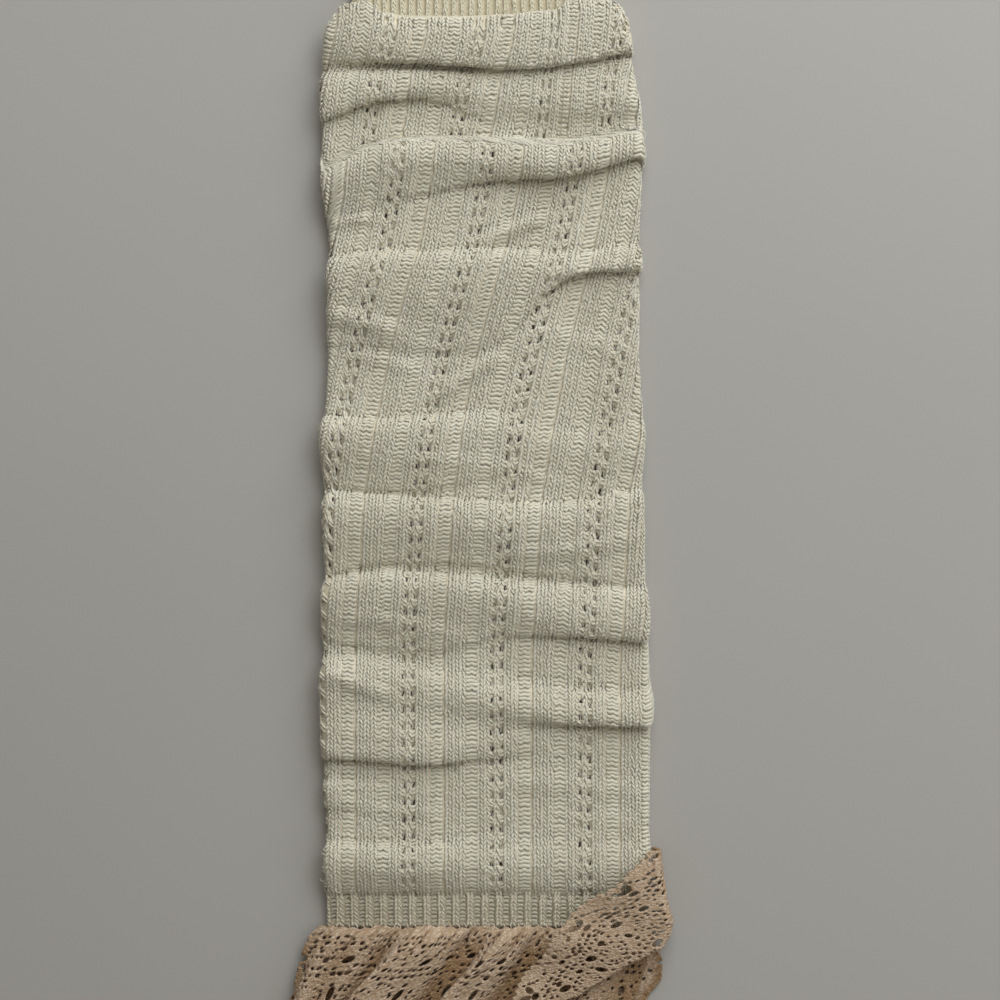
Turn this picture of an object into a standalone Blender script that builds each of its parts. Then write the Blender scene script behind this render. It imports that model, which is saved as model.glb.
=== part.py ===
"""A knitted leg warmer with a gathered lace frill, lying flat on its back panel.

Lengths are in millimetres up to the mesh makers, which turn them into metres.
X runs across the garment, +Y runs from the hem to the top cuff and +Z points up.
"""
import bpy
import numpy as np
from mathutils import Matrix

MM = 0.001

# Knitted leg: a flattened tube, two panels and the slit between them
LEG_START = 12.3
LEG_END = 336.5
LEG_THICKNESS = 6.0
WALL = 2.2
LEAST_SLIT = 0.6
EDGE_BULGE = 0.3

# Cuff at the top and ribbed hem at the bottom
CUFF_START = 336.8
CUFF_END = 371.0
CUFF_LEFT = -50.0
CUFF_RIGHT = 46.0
CUFF_THICKNESS = 4.8
CUFF_RIBS = 30
HEM_START = 0.0
HEM_END = 12.0
HEM_LEFT = -59.3
HEM_RIGHT = 61.3
HEM_THICKNESS = 5.4
HEM_RIBS = 22
RIB_WALL = 1.9
RIB_GROOVE = 0.7
BAND_ROWS = 3

# Places round a tube: on the leg's front, on each round side and on the back, and how many places
# of the front stand to one of the plain inside
LEG_FRONT_PLACES = 44
SIDE_PLACES = 3
BACK_PLACES = 8
LEG_INSIDE_STEP = 4
CUFF_INSIDE_STEP = 6
HEM_INSIDE_STEP = 4

# Knit repeat: one eyelet column and two purl grooves across each 32.5 mm
REPEAT = 32.5
EYELET_COLUMN_AT = 4.1
KNIT_GROOVE = 0.8

# Lace frill
FRILL_DEPTH = 47.0
LACE_WALL = 1.2
SEAM_GAP = 0.42
FRILL_SWAY = 0.35
FRILL_LEAN = 0.8
SEAM_FULLNESS = 0.3
FULLNESS_POWER = 0.8
FRILL_SIDE = 0.08
FRILL_LOW = 4.3
FRILL_SIDE_LOW = 2.8
FRILL_RISE = 8.0
BACK_LOW = 0.62
BACK_RISE = 1.5
SCALLOP = 1.2
LACE_COLUMNS = (4.2, 2.8, 4.2)
LACE_ROWS = (3.4, 3.4, 4.6, 3.4, 3.4, 4.6, 3.4, 3.4, 4.6, 3.4, 3.4, 3.0)
EYE_COLUMN = 1
EYE_ROWS = (2, 5, 8)
FRONT_REPEATS = 18
BACK_REPEATS = 12
TURNED_REPEATS = 8
TURNED_ROWS = 9
TURNED_EYE_ROWS = (3, 6)
TURNED_WAVE = 1.6
TURNED_BEND = 3.0

# Outline of the leg: distance above the hem seam, left edge, right edge
LEG_EDGES = (
    (12.3, -59.8, 61.3),
    (37.0, -59.5, 61.5),
    (60.0, -60.3, 61.6),
    (81.0, -61.0, 61.7),
    (111.0, -60.1, 61.2),
    (151.0, -59.4, 57.9),
    (184.0, -60.3, 59.2),
    (218.0, -58.7, 57.6),
    (236.0, -57.4, 57.6),
    (260.0, -59.0, 58.2),
    (297.0, -61.0, 58.6),
    (321.0, -61.0, 54.6),
    (331.0, -58.5, 52.0),
    (336.5, -51.0, 47.0),
)

# How far the wales have drifted to the right: distance above the hem seam, drift
WALE_DRIFT = (
    (0.0, 0.0),
    (103.0, 0.0),
    (160.0, 3.0),
    (190.0, 8.1),
    (232.0, 17.7),
    (251.0, 23.2),
    (277.0, 28.4),
    (292.0, 17.0),
    (315.0, 19.5),
    (336.5, 26.5),
)

# Height of the knit across one repeat: share of the repeat, height from 0 to 1
KNIT_PROFILE = (
    (0.0, 0.0),
    (0.14, 1.0),
    (0.22, 0.9),
    (0.31, 0.1),
    (0.40, 1.0),
    (0.60, 1.0),
    (0.69, 0.1),
    (0.78, 0.9),
    (0.86, 1.0),
    (1.0, 0.0),
)

# The folds, at four places across the leg, from left to right
FOLD_PLACES = (-58.0, -19.3, 19.3, 58.0)
FOLD_COLUMNS = ("crest", "height", "reach_up", "reach_down", "lean")
FOLDS = {
    "above_hem": ((30, 28, 27, 27), (3, 2.4, 1.5, 1.4), (4, 9), (12, 12), (0.3, 0.3, 0, 0)),
    "left_nick": ((54, 53, 52, 52), (1.6, 0.3, 0, 0), (4, 4), (7, 7), (0, 0, 0, 0)),
    "lower_sag": ((70, 68, 70, 74), (2.2, 2.2, 0.8, 0.2), (11, 9), (6, 6), (-0.3, -0.3, 0, 0)),
    "low_swell": ((97, 90, 85, 82), (2.5, 1.8, 2.8, 3.4), (5, 7), (9, 9), (0.2, 0, 0, -0.4)),
    "slanted_roll": ((128, 129, 124, 117), (3.4, 3.4, 4, 4.4), (5, 9), (17, 9), (0.4, 0.4, 0, -0.5)),
    "middle_crease": ((159, 156, 153.5, 157), (3, 3, 3, 3.2), (4, 4), (14, 14), (0.4, 0.4, 0.4, 0.4)),
    "upper_crease": ((186, 186, 184, 182), (3, 3, 1.3, 1.4), (4, 5), (16, 14), (0.4, 0.4, 0.2, 0.2)),
    "edge_roll": ((244, 247, 247, 246), (3, 3, 3.8, 4.6), (4, 5), (18, 8), (0.4, 0.4, -0.2, -0.5)),
    "big_fold": ((275.5, 286.5, 288, 289), (4, 5.2, 6, 5), (6, 5), (14, 9), (0.3, 0.3, -0.5, -0.5)),
    "under_roll": ((308.5, 311, 306, 306), (3.4, 3, 2.2, 2.2), (7, 10), (6, 10), (-0.5, -0.3, 0, 0)),
    "top_blouse": ((329, 328, 328, 330), (4.2, 6, 6, 4.4), (7, 7), (9, 8), (2.3, 1.2, 1.5, 2.6)),
}
STEEPEST_PART = 0.9

# Frill outline, front and back: depth below the seam, left edge, right edge
FRONT_FRILL_EDGES = ((0, -58.5, 60), (13, -64, 60), (25.5, -71, 56), (47, -80, 46))
BACK_FRILL_EDGES = ((0, -58.5, 60.5), (13, -64.5, 66), (20, -68, 65.5), (25.5, -71.5, 61), (47, -80, 50))

# Ruffles of the front frill: share of its width, height from 0 to 1
FRONT_RUFFLES = (
    (0.0, 0.0),
    (0.06, 0.35),
    (0.13, 0.2),
    (0.20, 0.45),
    (0.26, 0.0),
    (0.32, 1.0),
    (0.38, 0.75),
    (0.43, 0.7),
    (0.48, 0.0),
    (0.53, 0.05),
    (0.597, 0.95),
    (0.64, 0.5),
    (0.68, 0.0),
    (0.71, 0.1),
    (0.76, 0.3),
    (0.83, 0.0),
    (0.90, 0.30),
    (1.0, 0.0),
)
BACK_RUFFLES = tuple((step / 16, step % 2) for step in range(17))

# Corner turned up at the right: free edge x, y, bend x, y, low and high side of the bend
TURNED_SECTIONS = (
    (59.5, 30.0, 64.6, 29.6, 1.2, 9.2),
    (56.1, 24.7, 65.2, 22.0, 1.2, 9.4),
    (48.0, 17.7, 66.8, 11.4, 1.2, 9.8),
    (39.1, 12.5, 69.0, 3.3, 1.4, 10.2),
    (32.1, 7.4, 68.2, -0.7, 3.6, 10.4),
    (26.3, 1.0, 65.0, -5.5, 8.6, 10.8),
    (22.5, -6.0, 52.0, -11.8, 8.7, 10.9),
    (15.0, -14.5, 42.1, -17.7, 8.7, 10.9),
    (10.5, -21.0, 33.9, -22.9, 8.7, 10.9),
    (8.5, -27.0, 28.0, -28.0, 8.7, 10.9),
    (4.4, -37.0, 20.3, -38.0, 8.7, 10.9),
)

COLOURS = {
    "knit_leg": (0.60, 0.58, 0.45, 0.9),
    "top_cuff": (0.58, 0.53, 0.38, 0.9),
    "hem_rib": (0.58, 0.56, 0.44, 0.9),
    "lace_front": (0.52, 0.38, 0.26, 0.92),
    "lace_back": (0.50, 0.36, 0.25, 0.92),
    "lace_turned_corner": (0.54, 0.40, 0.28, 0.92),
}


def clear_scene():
    for item in list(bpy.data.objects):
        bpy.data.objects.remove(item, do_unlink=True)


def read_table(table, at, column=1):
    """Value of a table's column at places given in the units of its first column."""
    rows = np.array(table, float)
    return np.interp(at, rows[:, 0], rows[:, column])


def soft_table(table, at):
    """As read_table, but each step between two rows is an S curve, so no row shows as a corner."""
    rows = np.array(table, float)
    step = np.clip(np.searchsorted(rows[:, 0], at, side="right") - 1, 0, len(rows) - 2)
    share = np.clip((at - rows[step, 0]) / (rows[step + 1, 0] - rows[step, 0]), 0, 1)
    share = share * share * (3 - 2 * share)
    return rows[step, 1] + (rows[step + 1, 1] - rows[step, 1]) * share


def across(values, x):
    """Smooth curve through four values that stand at FOLD_PLACES, read at x; two values stand at its ends."""
    places = np.array(FOLD_PLACES)
    if len(values) == 2:
        return np.interp(x, places[[0, 3]], values)
    x = np.clip(x, places[0], places[3])
    total = np.zeros_like(x)
    for k, value in enumerate(values):
        others = np.delete(places, k)
        total = total + value * np.prod([(x - p) / (places[k] - p) for p in others], axis=0)
    return total


def fold_list():
    return [dict(zip(FOLD_COLUMNS, row)) for row in FOLDS.values()]


def along_folds(x, row, key_values, reach_share):
    """Value that each fold holds over its own reach, with straight steps from fold to fold and 0 at the ends."""
    places = [np.full_like(x, LEG_START)]
    values = [np.zeros_like(x)]
    for fold, value in zip(fold_list(), key_values):
        middle = np.mean(fold["crest"])
        for side, reach in ((-1, "reach_down"), (1, "reach_up")):
            places.append(middle + side * reach_share * across(fold[reach], x))
            values.append(value)
    places.append(np.full_like(x, LEG_END))
    values.append(values[-1] if reach_share else np.zeros_like(x))
    found = np.zeros_like(x)
    for k in range(len(places) - 1):
        span = np.maximum(places[k + 1] - places[k], 0.01)
        share = np.clip((row - places[k]) / span, 0, 1)
        inside = (row >= places[k]) & (row <= places[k + 1])
        found = np.where(inside, values[k] + (values[k + 1] - values[k]) * share, found)
    return found


def fold_fields(x, row):
    """For places x across and row along the leg: the lift of the folds, their lean, and the shift of their lines.

    A fold's lift is its height times a squared cosine of the distance from its crest over its reach."""
    folds = fold_list()
    lift = np.zeros_like(x)
    for fold in folds:
        away = row - np.mean(fold["crest"])
        reach = np.where(away > 0, across(fold["reach_up"], x), across(fold["reach_down"], x))
        share = np.clip(np.abs(away) / reach, 0, 1)
        lift += np.maximum(across(fold["height"], x), 0) * np.cos(share * np.pi / 2) ** 2
    lean = along_folds(x, row, [across(f["lean"], x) for f in folds], STEEPEST_PART)
    shift = along_folds(x, row, [across(f["crest"], x) - np.mean(f["crest"]) for f in folds], 0.0)
    return lift, lean, shift


def leg_rows():
    """Rows of the leg: close together over each fold's steep parts, wide apart elsewhere."""
    marks = [LEG_START, LEG_END]
    for fold in fold_list():
        middle = np.mean(fold["crest"])
        up, down = max(fold["reach_up"]), max(fold["reach_down"])
        marks += [middle, middle + up / 2, middle + up, middle - down * 0.35, middle - down * 0.7]
    marks = sorted(m for m in marks if LEG_START <= m <= LEG_END)
    rows = [marks[0]]
    for mark in marks[1:-1]:
        if mark - rows[-1] >= 2.4 and LEG_END - mark >= 2.0:
            fills = int((mark - rows[-1]) // 9.0)
            rows += list(np.linspace(rows[-1], mark, fills + 2)[1:])
    return np.array(rows + [LEG_END])


def ring_places(front, step):
    """Places round a flattened ring, over the front from left to right, down the right side and back below.

    Gives the share across (-1 to 1), the angle, and which places the plain inside keeps."""
    share = np.concatenate([
        np.linspace(-1, 1, front + 1),
        np.ones(SIDE_PLACES),
        np.linspace(1, -1, BACK_PLACES + 1),
        -np.ones(SIDE_PLACES),
    ])
    angle = np.radians(np.concatenate([
        np.full(front + 1, 90.0),
        np.linspace(90, -90, SIDE_PLACES + 2)[1:-1],
        np.full(BACK_PLACES + 1, -90.0),
        np.linspace(270, 90, SIDE_PLACES + 2)[1:-1],
    ]))
    below = front + 1 + SIDE_PLACES
    after = below + BACK_PLACES + 1
    kept = list(range(0, front + 1, step)) + [front + 1 + SIDE_PLACES // 2]
    kept += list(range(below, after, BACK_PLACES // 2)) + [after + SIDE_PLACES // 2]
    return share, angle, kept


def ring_points(share, angle, rows, left, right, thickness, inset, groove=0.0):
    """Points of a stack of flattened rings, without folds: a slot with half-round ends, inset by a wall."""
    half, middle = (right - left) / 2, (right + left) / 2
    radius = thickness / 2
    x = middle + share * (half - radius) + (radius - inset - groove) * np.cos(angle)
    z = radius + (radius - inset - groove) * np.sin(angle)
    return np.stack(np.broadcast_arrays(x, rows, z), axis=-1)


def mesh_object(name, points, faces):
    mesh = bpy.data.meshes.new(name)
    mesh.from_pydata((np.asarray(points, float) * MM).tolist(), [], faces)
    mesh.validate()
    made = bpy.data.objects.new(name, mesh)
    made.data.materials.append(cloth_material(name))
    mesh.shade_smooth()
    garment_collection().objects.link(made)
    return made


def cloth_material(name):
    red, green, blue, roughness = COLOURS[name]
    made = bpy.data.materials.new(name)
    made.use_nodes = True
    shader = made.node_tree.nodes["Principled BSDF"]
    shader.inputs["Base Color"].default_value = (red, green, blue, 1)
    shader.inputs["Roughness"].default_value = roughness
    shader.inputs["Metallic"].default_value = 0
    return made


def garment_collection():
    found = bpy.data.collections.get("leg_warmer")
    if found is None:
        found = bpy.data.collections.new("leg_warmer")
        bpy.context.scene.collection.children.link(found)
    return found


def tube(name, outer, inner, kept):
    """A closed tube wall from two stacks of rings; the inside has fewer places round, those in kept."""
    rows, places = outer.shape[:2]
    inside_places = len(kept)
    start_inside = rows * places
    faces = []
    for i in range(rows - 1):
        for j in range(places):
            k = (j + 1) % places
            faces.append((i * places + j, i * places + k, (i + 1) * places + k, (i + 1) * places + j))
        for j in range(inside_places):
            k = (j + 1) % inside_places
            low, high = start_inside + i * inside_places, start_inside + (i + 1) * inside_places
            faces.append((low + j, high + j, high + k, low + k))
    for i in (0, rows - 1):
        for j in range(inside_places):
            k = (j + 1) % inside_places
            last = kept[k] if k else places + kept[0]
            rim = [i * places + p % places for p in range(kept[j], last + 1)]
            rim += [start_inside + i * inside_places + k, start_inside + i * inside_places + j]
            faces.append(tuple(rim if i else reversed(rim)))
    points = np.concatenate([outer.reshape(-1, 3), inner.reshape(-1, 3)])
    return mesh_object(name, points, faces)


def knit_leg():
    """The leg: its front panel carries the folds and the knit's grooves, and its back panel lies flat.

    Points are lifted by the folds, then moved along the leg by lean times height, which tips each
    fold over without any wall crossing itself. The inside is the same shape, one wall lower."""
    share, angle, kept = ring_places(LEG_FRONT_PLACES, LEG_INSIDE_STEP)
    rows = leg_rows()[:, None]
    left, right = read_table(LEG_EDGES, rows), read_table(LEG_EDGES, rows, 2)
    radius = LEG_THICKNESS / 2
    x = (right + left) / 2 + share * ((right - left) / 2 - radius)
    row = rows + np.zeros_like(x)
    upper = (1 + np.sin(angle)) / 2
    upper = upper * upper * (3 - 2 * upper)
    lift, lean, shift = fold_fields(x, row)
    slope = np.gradient(lift, rows[:, 0], axis=0)
    stretch = np.sqrt((1 + lean * slope) ** 2 + slope ** 2)
    depth = np.minimum(WALL * stretch, lift + LEG_THICKNESS - WALL - LEAST_SLIT)
    phase = (x - EYELET_COLUMN_AT - read_table(WALE_DRIFT, row)) / REPEAT
    groove = KNIT_GROOVE * (1 - read_table(KNIT_PROFILE, phase % 1)) * upper
    ends = np.clip(np.minimum(row - LEG_START, LEG_END - row) / 4, 0, 1)
    outward = np.cos(angle) * EDGE_BULGE * lift

    outer = ring_points(share, angle, row, left, right, LEG_THICKNESS, 0.0, groove * ends)
    outer[..., 0] += outward
    outer[..., 1] += (shift + lean * lift) * upper
    outer[..., 2] += lift * upper

    inner = ring_points(share, angle, row, left, right, LEG_THICKNESS, WALL)
    inner[..., 0] += outward
    inner[..., 1] += (shift + lean * (lift - depth)) * upper
    inner[..., 2] += (lift - depth + WALL) * upper
    return tube("knit_leg", outer, inner[:, kept], kept)


def ribbed_band(name, start, end, left, right, thickness, ribs, step):
    """A short band in 1 by 1 rib: grooves and ridges take turns across its front."""
    share, angle, kept = ring_places(2 * ribs, step)
    rows = np.linspace(start, end, BAND_ROWS)[:, None] + np.zeros_like(share)
    front = np.isclose(np.sin(angle), 1)
    groove = RIB_GROOVE * front * (np.arange(len(share)) % 2)
    outer = ring_points(share, angle, rows, left, right, thickness, 0.0, groove)
    inner = ring_points(share, angle, rows, left, right, thickness, RIB_WALL)
    return tube(name, outer, inner[:, kept], kept)


def lace_sheet(name, points, eyes):
    """A lace wall over a grid of points, with the eyes left open, thickened by Solidify."""
    across_count, down_count = points.shape[:2]
    faces = []
    for i in range(across_count - 1):
        for j in range(down_count - 1):
            if not eyes(i, j):
                a = i * down_count + j
                faces.append((a, a + 1, a + down_count + 1, a + down_count))
    made = mesh_object(name, points.reshape(-1, 3), faces)
    wall = made.modifiers.new("lace wall", "SOLIDIFY")
    wall.thickness = LACE_WALL * MM
    wall.offset = 0
    return made


def lace_grid(repeats):
    """Shares along the seam at the lace's column lines, and depths below the seam at its row lines."""
    along = np.concatenate([[0], np.cumsum(LACE_COLUMNS * repeats)])
    down = np.concatenate([[0], np.cumsum(LACE_ROWS)])
    return along / along[-1], down * FRILL_DEPTH / down[-1]


def is_eye(i, j):
    return i % len(LACE_COLUMNS) == EYE_COLUMN and j in EYE_ROWS


def frill(name, repeats, edges, ruffles, low, rise, lean):
    """One side of the gathered frill. Its ruffles grow from the seam to the free edge and tip to the left."""
    along, depths = lace_grid(repeats)
    u, depth = np.meshgrid(along, depths, indexing="ij")
    left, right = read_table(edges, depth), read_table(edges, depth, 2)
    ruffle = soft_table(ruffles, u)
    fullness = SEAM_FULLNESS + (1 - SEAM_FULLNESS) * (depth / FRILL_DEPTH) ** FULLNESS_POWER
    side = np.clip(np.minimum(u, 1 - u) / FRILL_SIDE, 0, 1)
    lift = rise * fullness * ruffle * side
    scallop = SCALLOP * (depth / FRILL_DEPTH) ** 4 * np.cos(2 * np.pi * repeats * u)
    x = left + (right - left) * u - FRILL_SWAY * depth * np.sin(np.pi * u) - lean * lift
    y = -SEAM_GAP - depth - scallop
    base = low if low == BACK_LOW else FRILL_SIDE_LOW + (low - FRILL_SIDE_LOW) * side
    return lace_sheet(name, np.stack([x, y, base + lift], axis=-1), is_eye)


def turned_corner():
    """The right corner of the frill, turned up: round its bend and over the front to the free edge.

    Across each section the sheet runs half round an ellipse at the bend, then straight to the free edge."""
    along, _ = lace_grid(TURNED_REPEATS)
    sections = np.array(TURNED_SECTIONS)
    place = np.linspace(0, 1, len(sections))
    free_x, free_y, bend_x, bend_y, low, high = (
        np.interp(along, place, column)[:, None] for column in sections.T
    )
    inward = np.stack([free_x - bend_x, free_y - bend_y])
    length = np.sqrt((inward ** 2).sum(axis=0))
    inward = inward / length
    bend_rows = 3
    turn = np.radians(np.linspace(-90, 90, bend_rows + 1))[None, :]
    radius = np.minimum(TURNED_BEND, (high - low) / 2)
    bend_in = radius * (1 - np.cos(turn))
    bend_z = (high + low) / 2 + (high - low) / 2 * np.sin(turn)
    share = np.linspace(0, 1, TURNED_ROWS - bend_rows + 1)[None, 1:]
    flat_in = radius + (length - radius) * share
    wave = TURNED_WAVE * (0.5 - 0.5 * np.cos(2 * np.pi * 3 * along))[:, None]
    flat_z = high + wave * np.sin(share * np.pi / 2)
    scallop = SCALLOP * share ** 4 * np.cos(2 * np.pi * TURNED_REPEATS * along)[:, None]
    reach = np.concatenate([bend_in, flat_in + scallop], axis=1)
    z = np.concatenate([bend_z, flat_z], axis=1)
    points = np.stack([bend_x + inward[0] * reach, bend_y + inward[1] * reach, z], axis=-1)
    return lace_sheet(
        "lace_turned_corner",
        points,
        lambda i, j: i % len(LACE_COLUMNS) == EYE_COLUMN and j in TURNED_EYE_ROWS and i > 3,
    )


def centre_garment(pieces):
    """Moves every mesh so that the garment's box stands with the middle of its underside at the origin."""
    bpy.context.view_layer.update()
    graph = bpy.context.evaluated_depsgraph_get()
    corners = np.array([c[:] for piece in pieces for c in piece.evaluated_get(graph).bound_box])
    low, high = corners.min(axis=0), corners.max(axis=0)
    middle = (low + high) / 2
    for piece in pieces:
        piece.data.transform(Matrix.Translation((-middle[0], -middle[1], -low[2])))


def main():
    clear_scene()
    pieces = [
        knit_leg(),
        ribbed_band(
            "top_cuff", CUFF_START, CUFF_END, CUFF_LEFT, CUFF_RIGHT, CUFF_THICKNESS, CUFF_RIBS, CUFF_INSIDE_STEP),
        ribbed_band(
            "hem_rib", HEM_START, HEM_END, HEM_LEFT, HEM_RIGHT, HEM_THICKNESS, HEM_RIBS, HEM_INSIDE_STEP),
        frill("lace_front", FRONT_REPEATS, FRONT_FRILL_EDGES, FRONT_RUFFLES, FRILL_LOW, FRILL_RISE, FRILL_LEAN),
        frill("lace_back", BACK_REPEATS, BACK_FRILL_EDGES, BACK_RUFFLES, BACK_LOW, BACK_RISE, 0.0),
        turned_corner(),
    ]
    centre_garment(pieces)


main()
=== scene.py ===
import bpy
import numpy as np
from bpy.props import FloatProperty, FloatVectorProperty, PointerProperty
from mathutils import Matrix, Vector


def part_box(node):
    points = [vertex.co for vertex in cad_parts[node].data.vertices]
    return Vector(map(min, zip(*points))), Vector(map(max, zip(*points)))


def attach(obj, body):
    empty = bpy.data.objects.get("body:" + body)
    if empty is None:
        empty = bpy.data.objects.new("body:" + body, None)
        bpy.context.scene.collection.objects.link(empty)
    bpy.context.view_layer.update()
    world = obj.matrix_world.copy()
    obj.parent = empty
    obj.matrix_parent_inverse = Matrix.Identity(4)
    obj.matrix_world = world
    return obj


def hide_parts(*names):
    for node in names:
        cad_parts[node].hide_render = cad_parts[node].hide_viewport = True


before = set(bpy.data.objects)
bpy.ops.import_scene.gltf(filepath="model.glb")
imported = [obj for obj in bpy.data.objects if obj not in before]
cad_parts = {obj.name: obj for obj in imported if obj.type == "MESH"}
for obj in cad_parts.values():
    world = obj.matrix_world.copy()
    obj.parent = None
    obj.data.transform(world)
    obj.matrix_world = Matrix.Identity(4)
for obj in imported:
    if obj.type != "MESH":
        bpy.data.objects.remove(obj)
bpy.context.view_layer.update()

bl_info = {
    "name": "Knitted leg warmer",
    "version": (1, 0, 0),
    "blender": (4, 5, 0),
    "location": "3D View > Sidebar > Leg warmer",
    "description": "Dresses a flat lying leg warmer in stitches, ribs and gathered lace",
    "category": "Add Mesh",
}

# Lengths are in millimetres, measured from the middle of the photo's hem seam, up to the mesh makers.
MM = 0.001
HEM_LEFT = -59.3
HEM_RIGHT = 61.3
SEAM_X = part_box("hem_rib")[0].x / MM - HEM_LEFT
SEAM_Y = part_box("hem_rib")[0].y / MM

# Leg tube, as in its solid: the yarn stands on a shell that lies one yarn inside it
LEG_START = 12.3
LEG_END = 336.5
LEG_LOW = 11.4
LEG_THICKNESS = 6.0
YARN_ROOM = 0.65
EDGE_BULGE = 0.3

# Where the leg's surface changes over: its grooves end at the top, the squeeze starts past the middle,
# the back's wales keep near the front's, and its side towards the hem thins and tucks under
TOP_FADE = 4.0
BEND_PAST_MIDDLE = 10.0
BACK_LIMIT = 0.25
HEM_MEET = 4.5
HEM_BLEND = 5.0
RIM_TUCK = 0.8

# Ribbed bands. The hem's upper side drops towards the lace, and its last rows lie under the leg's rim.
HEM_END = 12.0
HEM_THICKNESS = 5.4
HEM_DROP = 2.2
HEM_GROOVE = 0.5
HEM_OVERLAP_ROWS = 3
HEM_PURL_RISE = 0.18
# The hem's yarn is painted darker and warmer than the leg's: painted shade on its side that slopes away
# from the lamp, warmed by painted light bounced off the lace
HEM_PAINTED_SHADE = 0.94
HEM_PAINTED_WARMTH = 0.02
CUFF_GROOVE = 0.35
CUFF_PURL_RISE = -0.15
CUFF_START = 336.8
CUFF_END = 371.0
CUFF_LEFT = -50.0
CUFF_RIGHT = 46.0
CUFF_THICKNESS = 4.8
HEM_PITCH = 5.4
HEM_RIBS = 45
CUFF_PITCH = 3.2
CUFF_RIBS = 60

# Knit repeat: where its wales stand across 32.5 mm, and what each one is
REPEAT = 32.5
REPEATS_ROUND = 8
WALES = (
    (0.0, "centre"),
    (3.8, "knit"),
    (6.4, "knit"),
    (9.2, "purl"),
    (11.5, "purl"),
    (14.7, "knit"),
    (17.3, "knit"),
    (19.9, "knit"),
    (22.3, "purl"),
    (24.5, "purl"),
    (26.4, "knit"),
    (28.9, "knit"),
)
EYELET_OFFSET = 1.85
EYELET_ROWS = 4
EYELET_MIDDLE = 1.35
EYELET_PUCKER = 0.28
PUCKER_WIDTH = 2.3
FIRST_COLUMN = 4.1

# Height of the shell across one repeat: distance from the eyelet column, height from 0 to 1
KNIT_PROFILE = (
    (0.0, 0.55),
    (1.9, 0.0),
    (3.6, 0.9),
    (6.6, 1.0),
    (8.3, 0.3),
    (10.3, 0.0),
    (12.4, 0.3),
    (14.4, 1.0),
    (17.3, 1.1),
    (20.2, 1.0),
    (21.5, 0.3),
    (23.4, 0.0),
    (25.0, 0.3),
    (26.6, 1.0),
    (29.0, 0.9),
    (30.6, 0.0),
    (32.5, 0.55),
)
KNIT_GROOVE = 0.6

# The shell's cells: lines round one repeat, rows in one group of eyelets, their unevenness, and its wall
SHELL_LINES = (0, 1.25, 2.35, 3.8, 6.4, 9.2, 11.5, 14.7, 17.3, 19.9, 22.3, 24.5, 26.4, 28.9, 30.15, 31.25)
SHELL_ROWS = (0.75, 1.9, 3.35)
LINE_SCATTER = 0.22
SHELL_ROW_SCATTER = 0.18
CREASE_ROWS = 1.2
CREASE_SINK = 1.4
EYELETS_UPWARD = 0.75
SHELL_WALL = 0.6

# Outline of the leg: distance above the hem seam, left edge, right edge
LEG_EDGES = (
    (12.3, -59.8, 61.3),
    (37.0, -59.5, 61.5),
    (60.0, -60.3, 61.6),
    (81.0, -61.0, 61.7),
    (111.0, -60.1, 61.2),
    (151.0, -59.4, 57.9),
    (184.0, -60.3, 59.2),
    (218.0, -58.7, 57.6),
    (236.0, -57.4, 57.6),
    (260.0, -59.0, 58.2),
    (297.0, -61.0, 58.6),
    (321.0, -61.0, 54.6),
    (331.0, -58.5, 52.0),
    (336.5, -51.0, 47.0),
)

# Drift of the wales to the right and squeeze of the right side: distance above the hem seam, drift, squeeze
WALE_DRIFT = (
    (0.0, 0.0, 0.0),
    (103.0, 0.0, 0.0),
    (129.0, 1.8, 0.0),
    (159.0, 3.5, 0.0),
    (190.0, 8.1, 0.0),
    (214.0, 12.9, 0.0),
    (232.0, 17.7, 0.0),
    (251.0, 23.2, 0.0),
    (277.0, 28.4, 0.0),
    (288.5, 29.4, 0.0),
    (291.5, 17.0, 11.0),
    (299.0, 18.5, 13.0),
    (315.0, 21.0, 13.0),
    (330.0, 26.2, 13.0),
    (336.5, 26.5, 13.0),
)

# The same for the back, which has no fold to jump at
BACK_DRIFT = (
    (0.0, 0.0, 0.0),
    (103.0, 0.0, 0.0),
    (129.0, 1.8, 0.0),
    (190.0, 8.1, 2.0),
    (232.0, 15.0, 5.0),
    (277.0, 21.0, 8.0),
    (315.0, 24.0, 12.0),
    (336.5, 26.5, 13.0),
)

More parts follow.
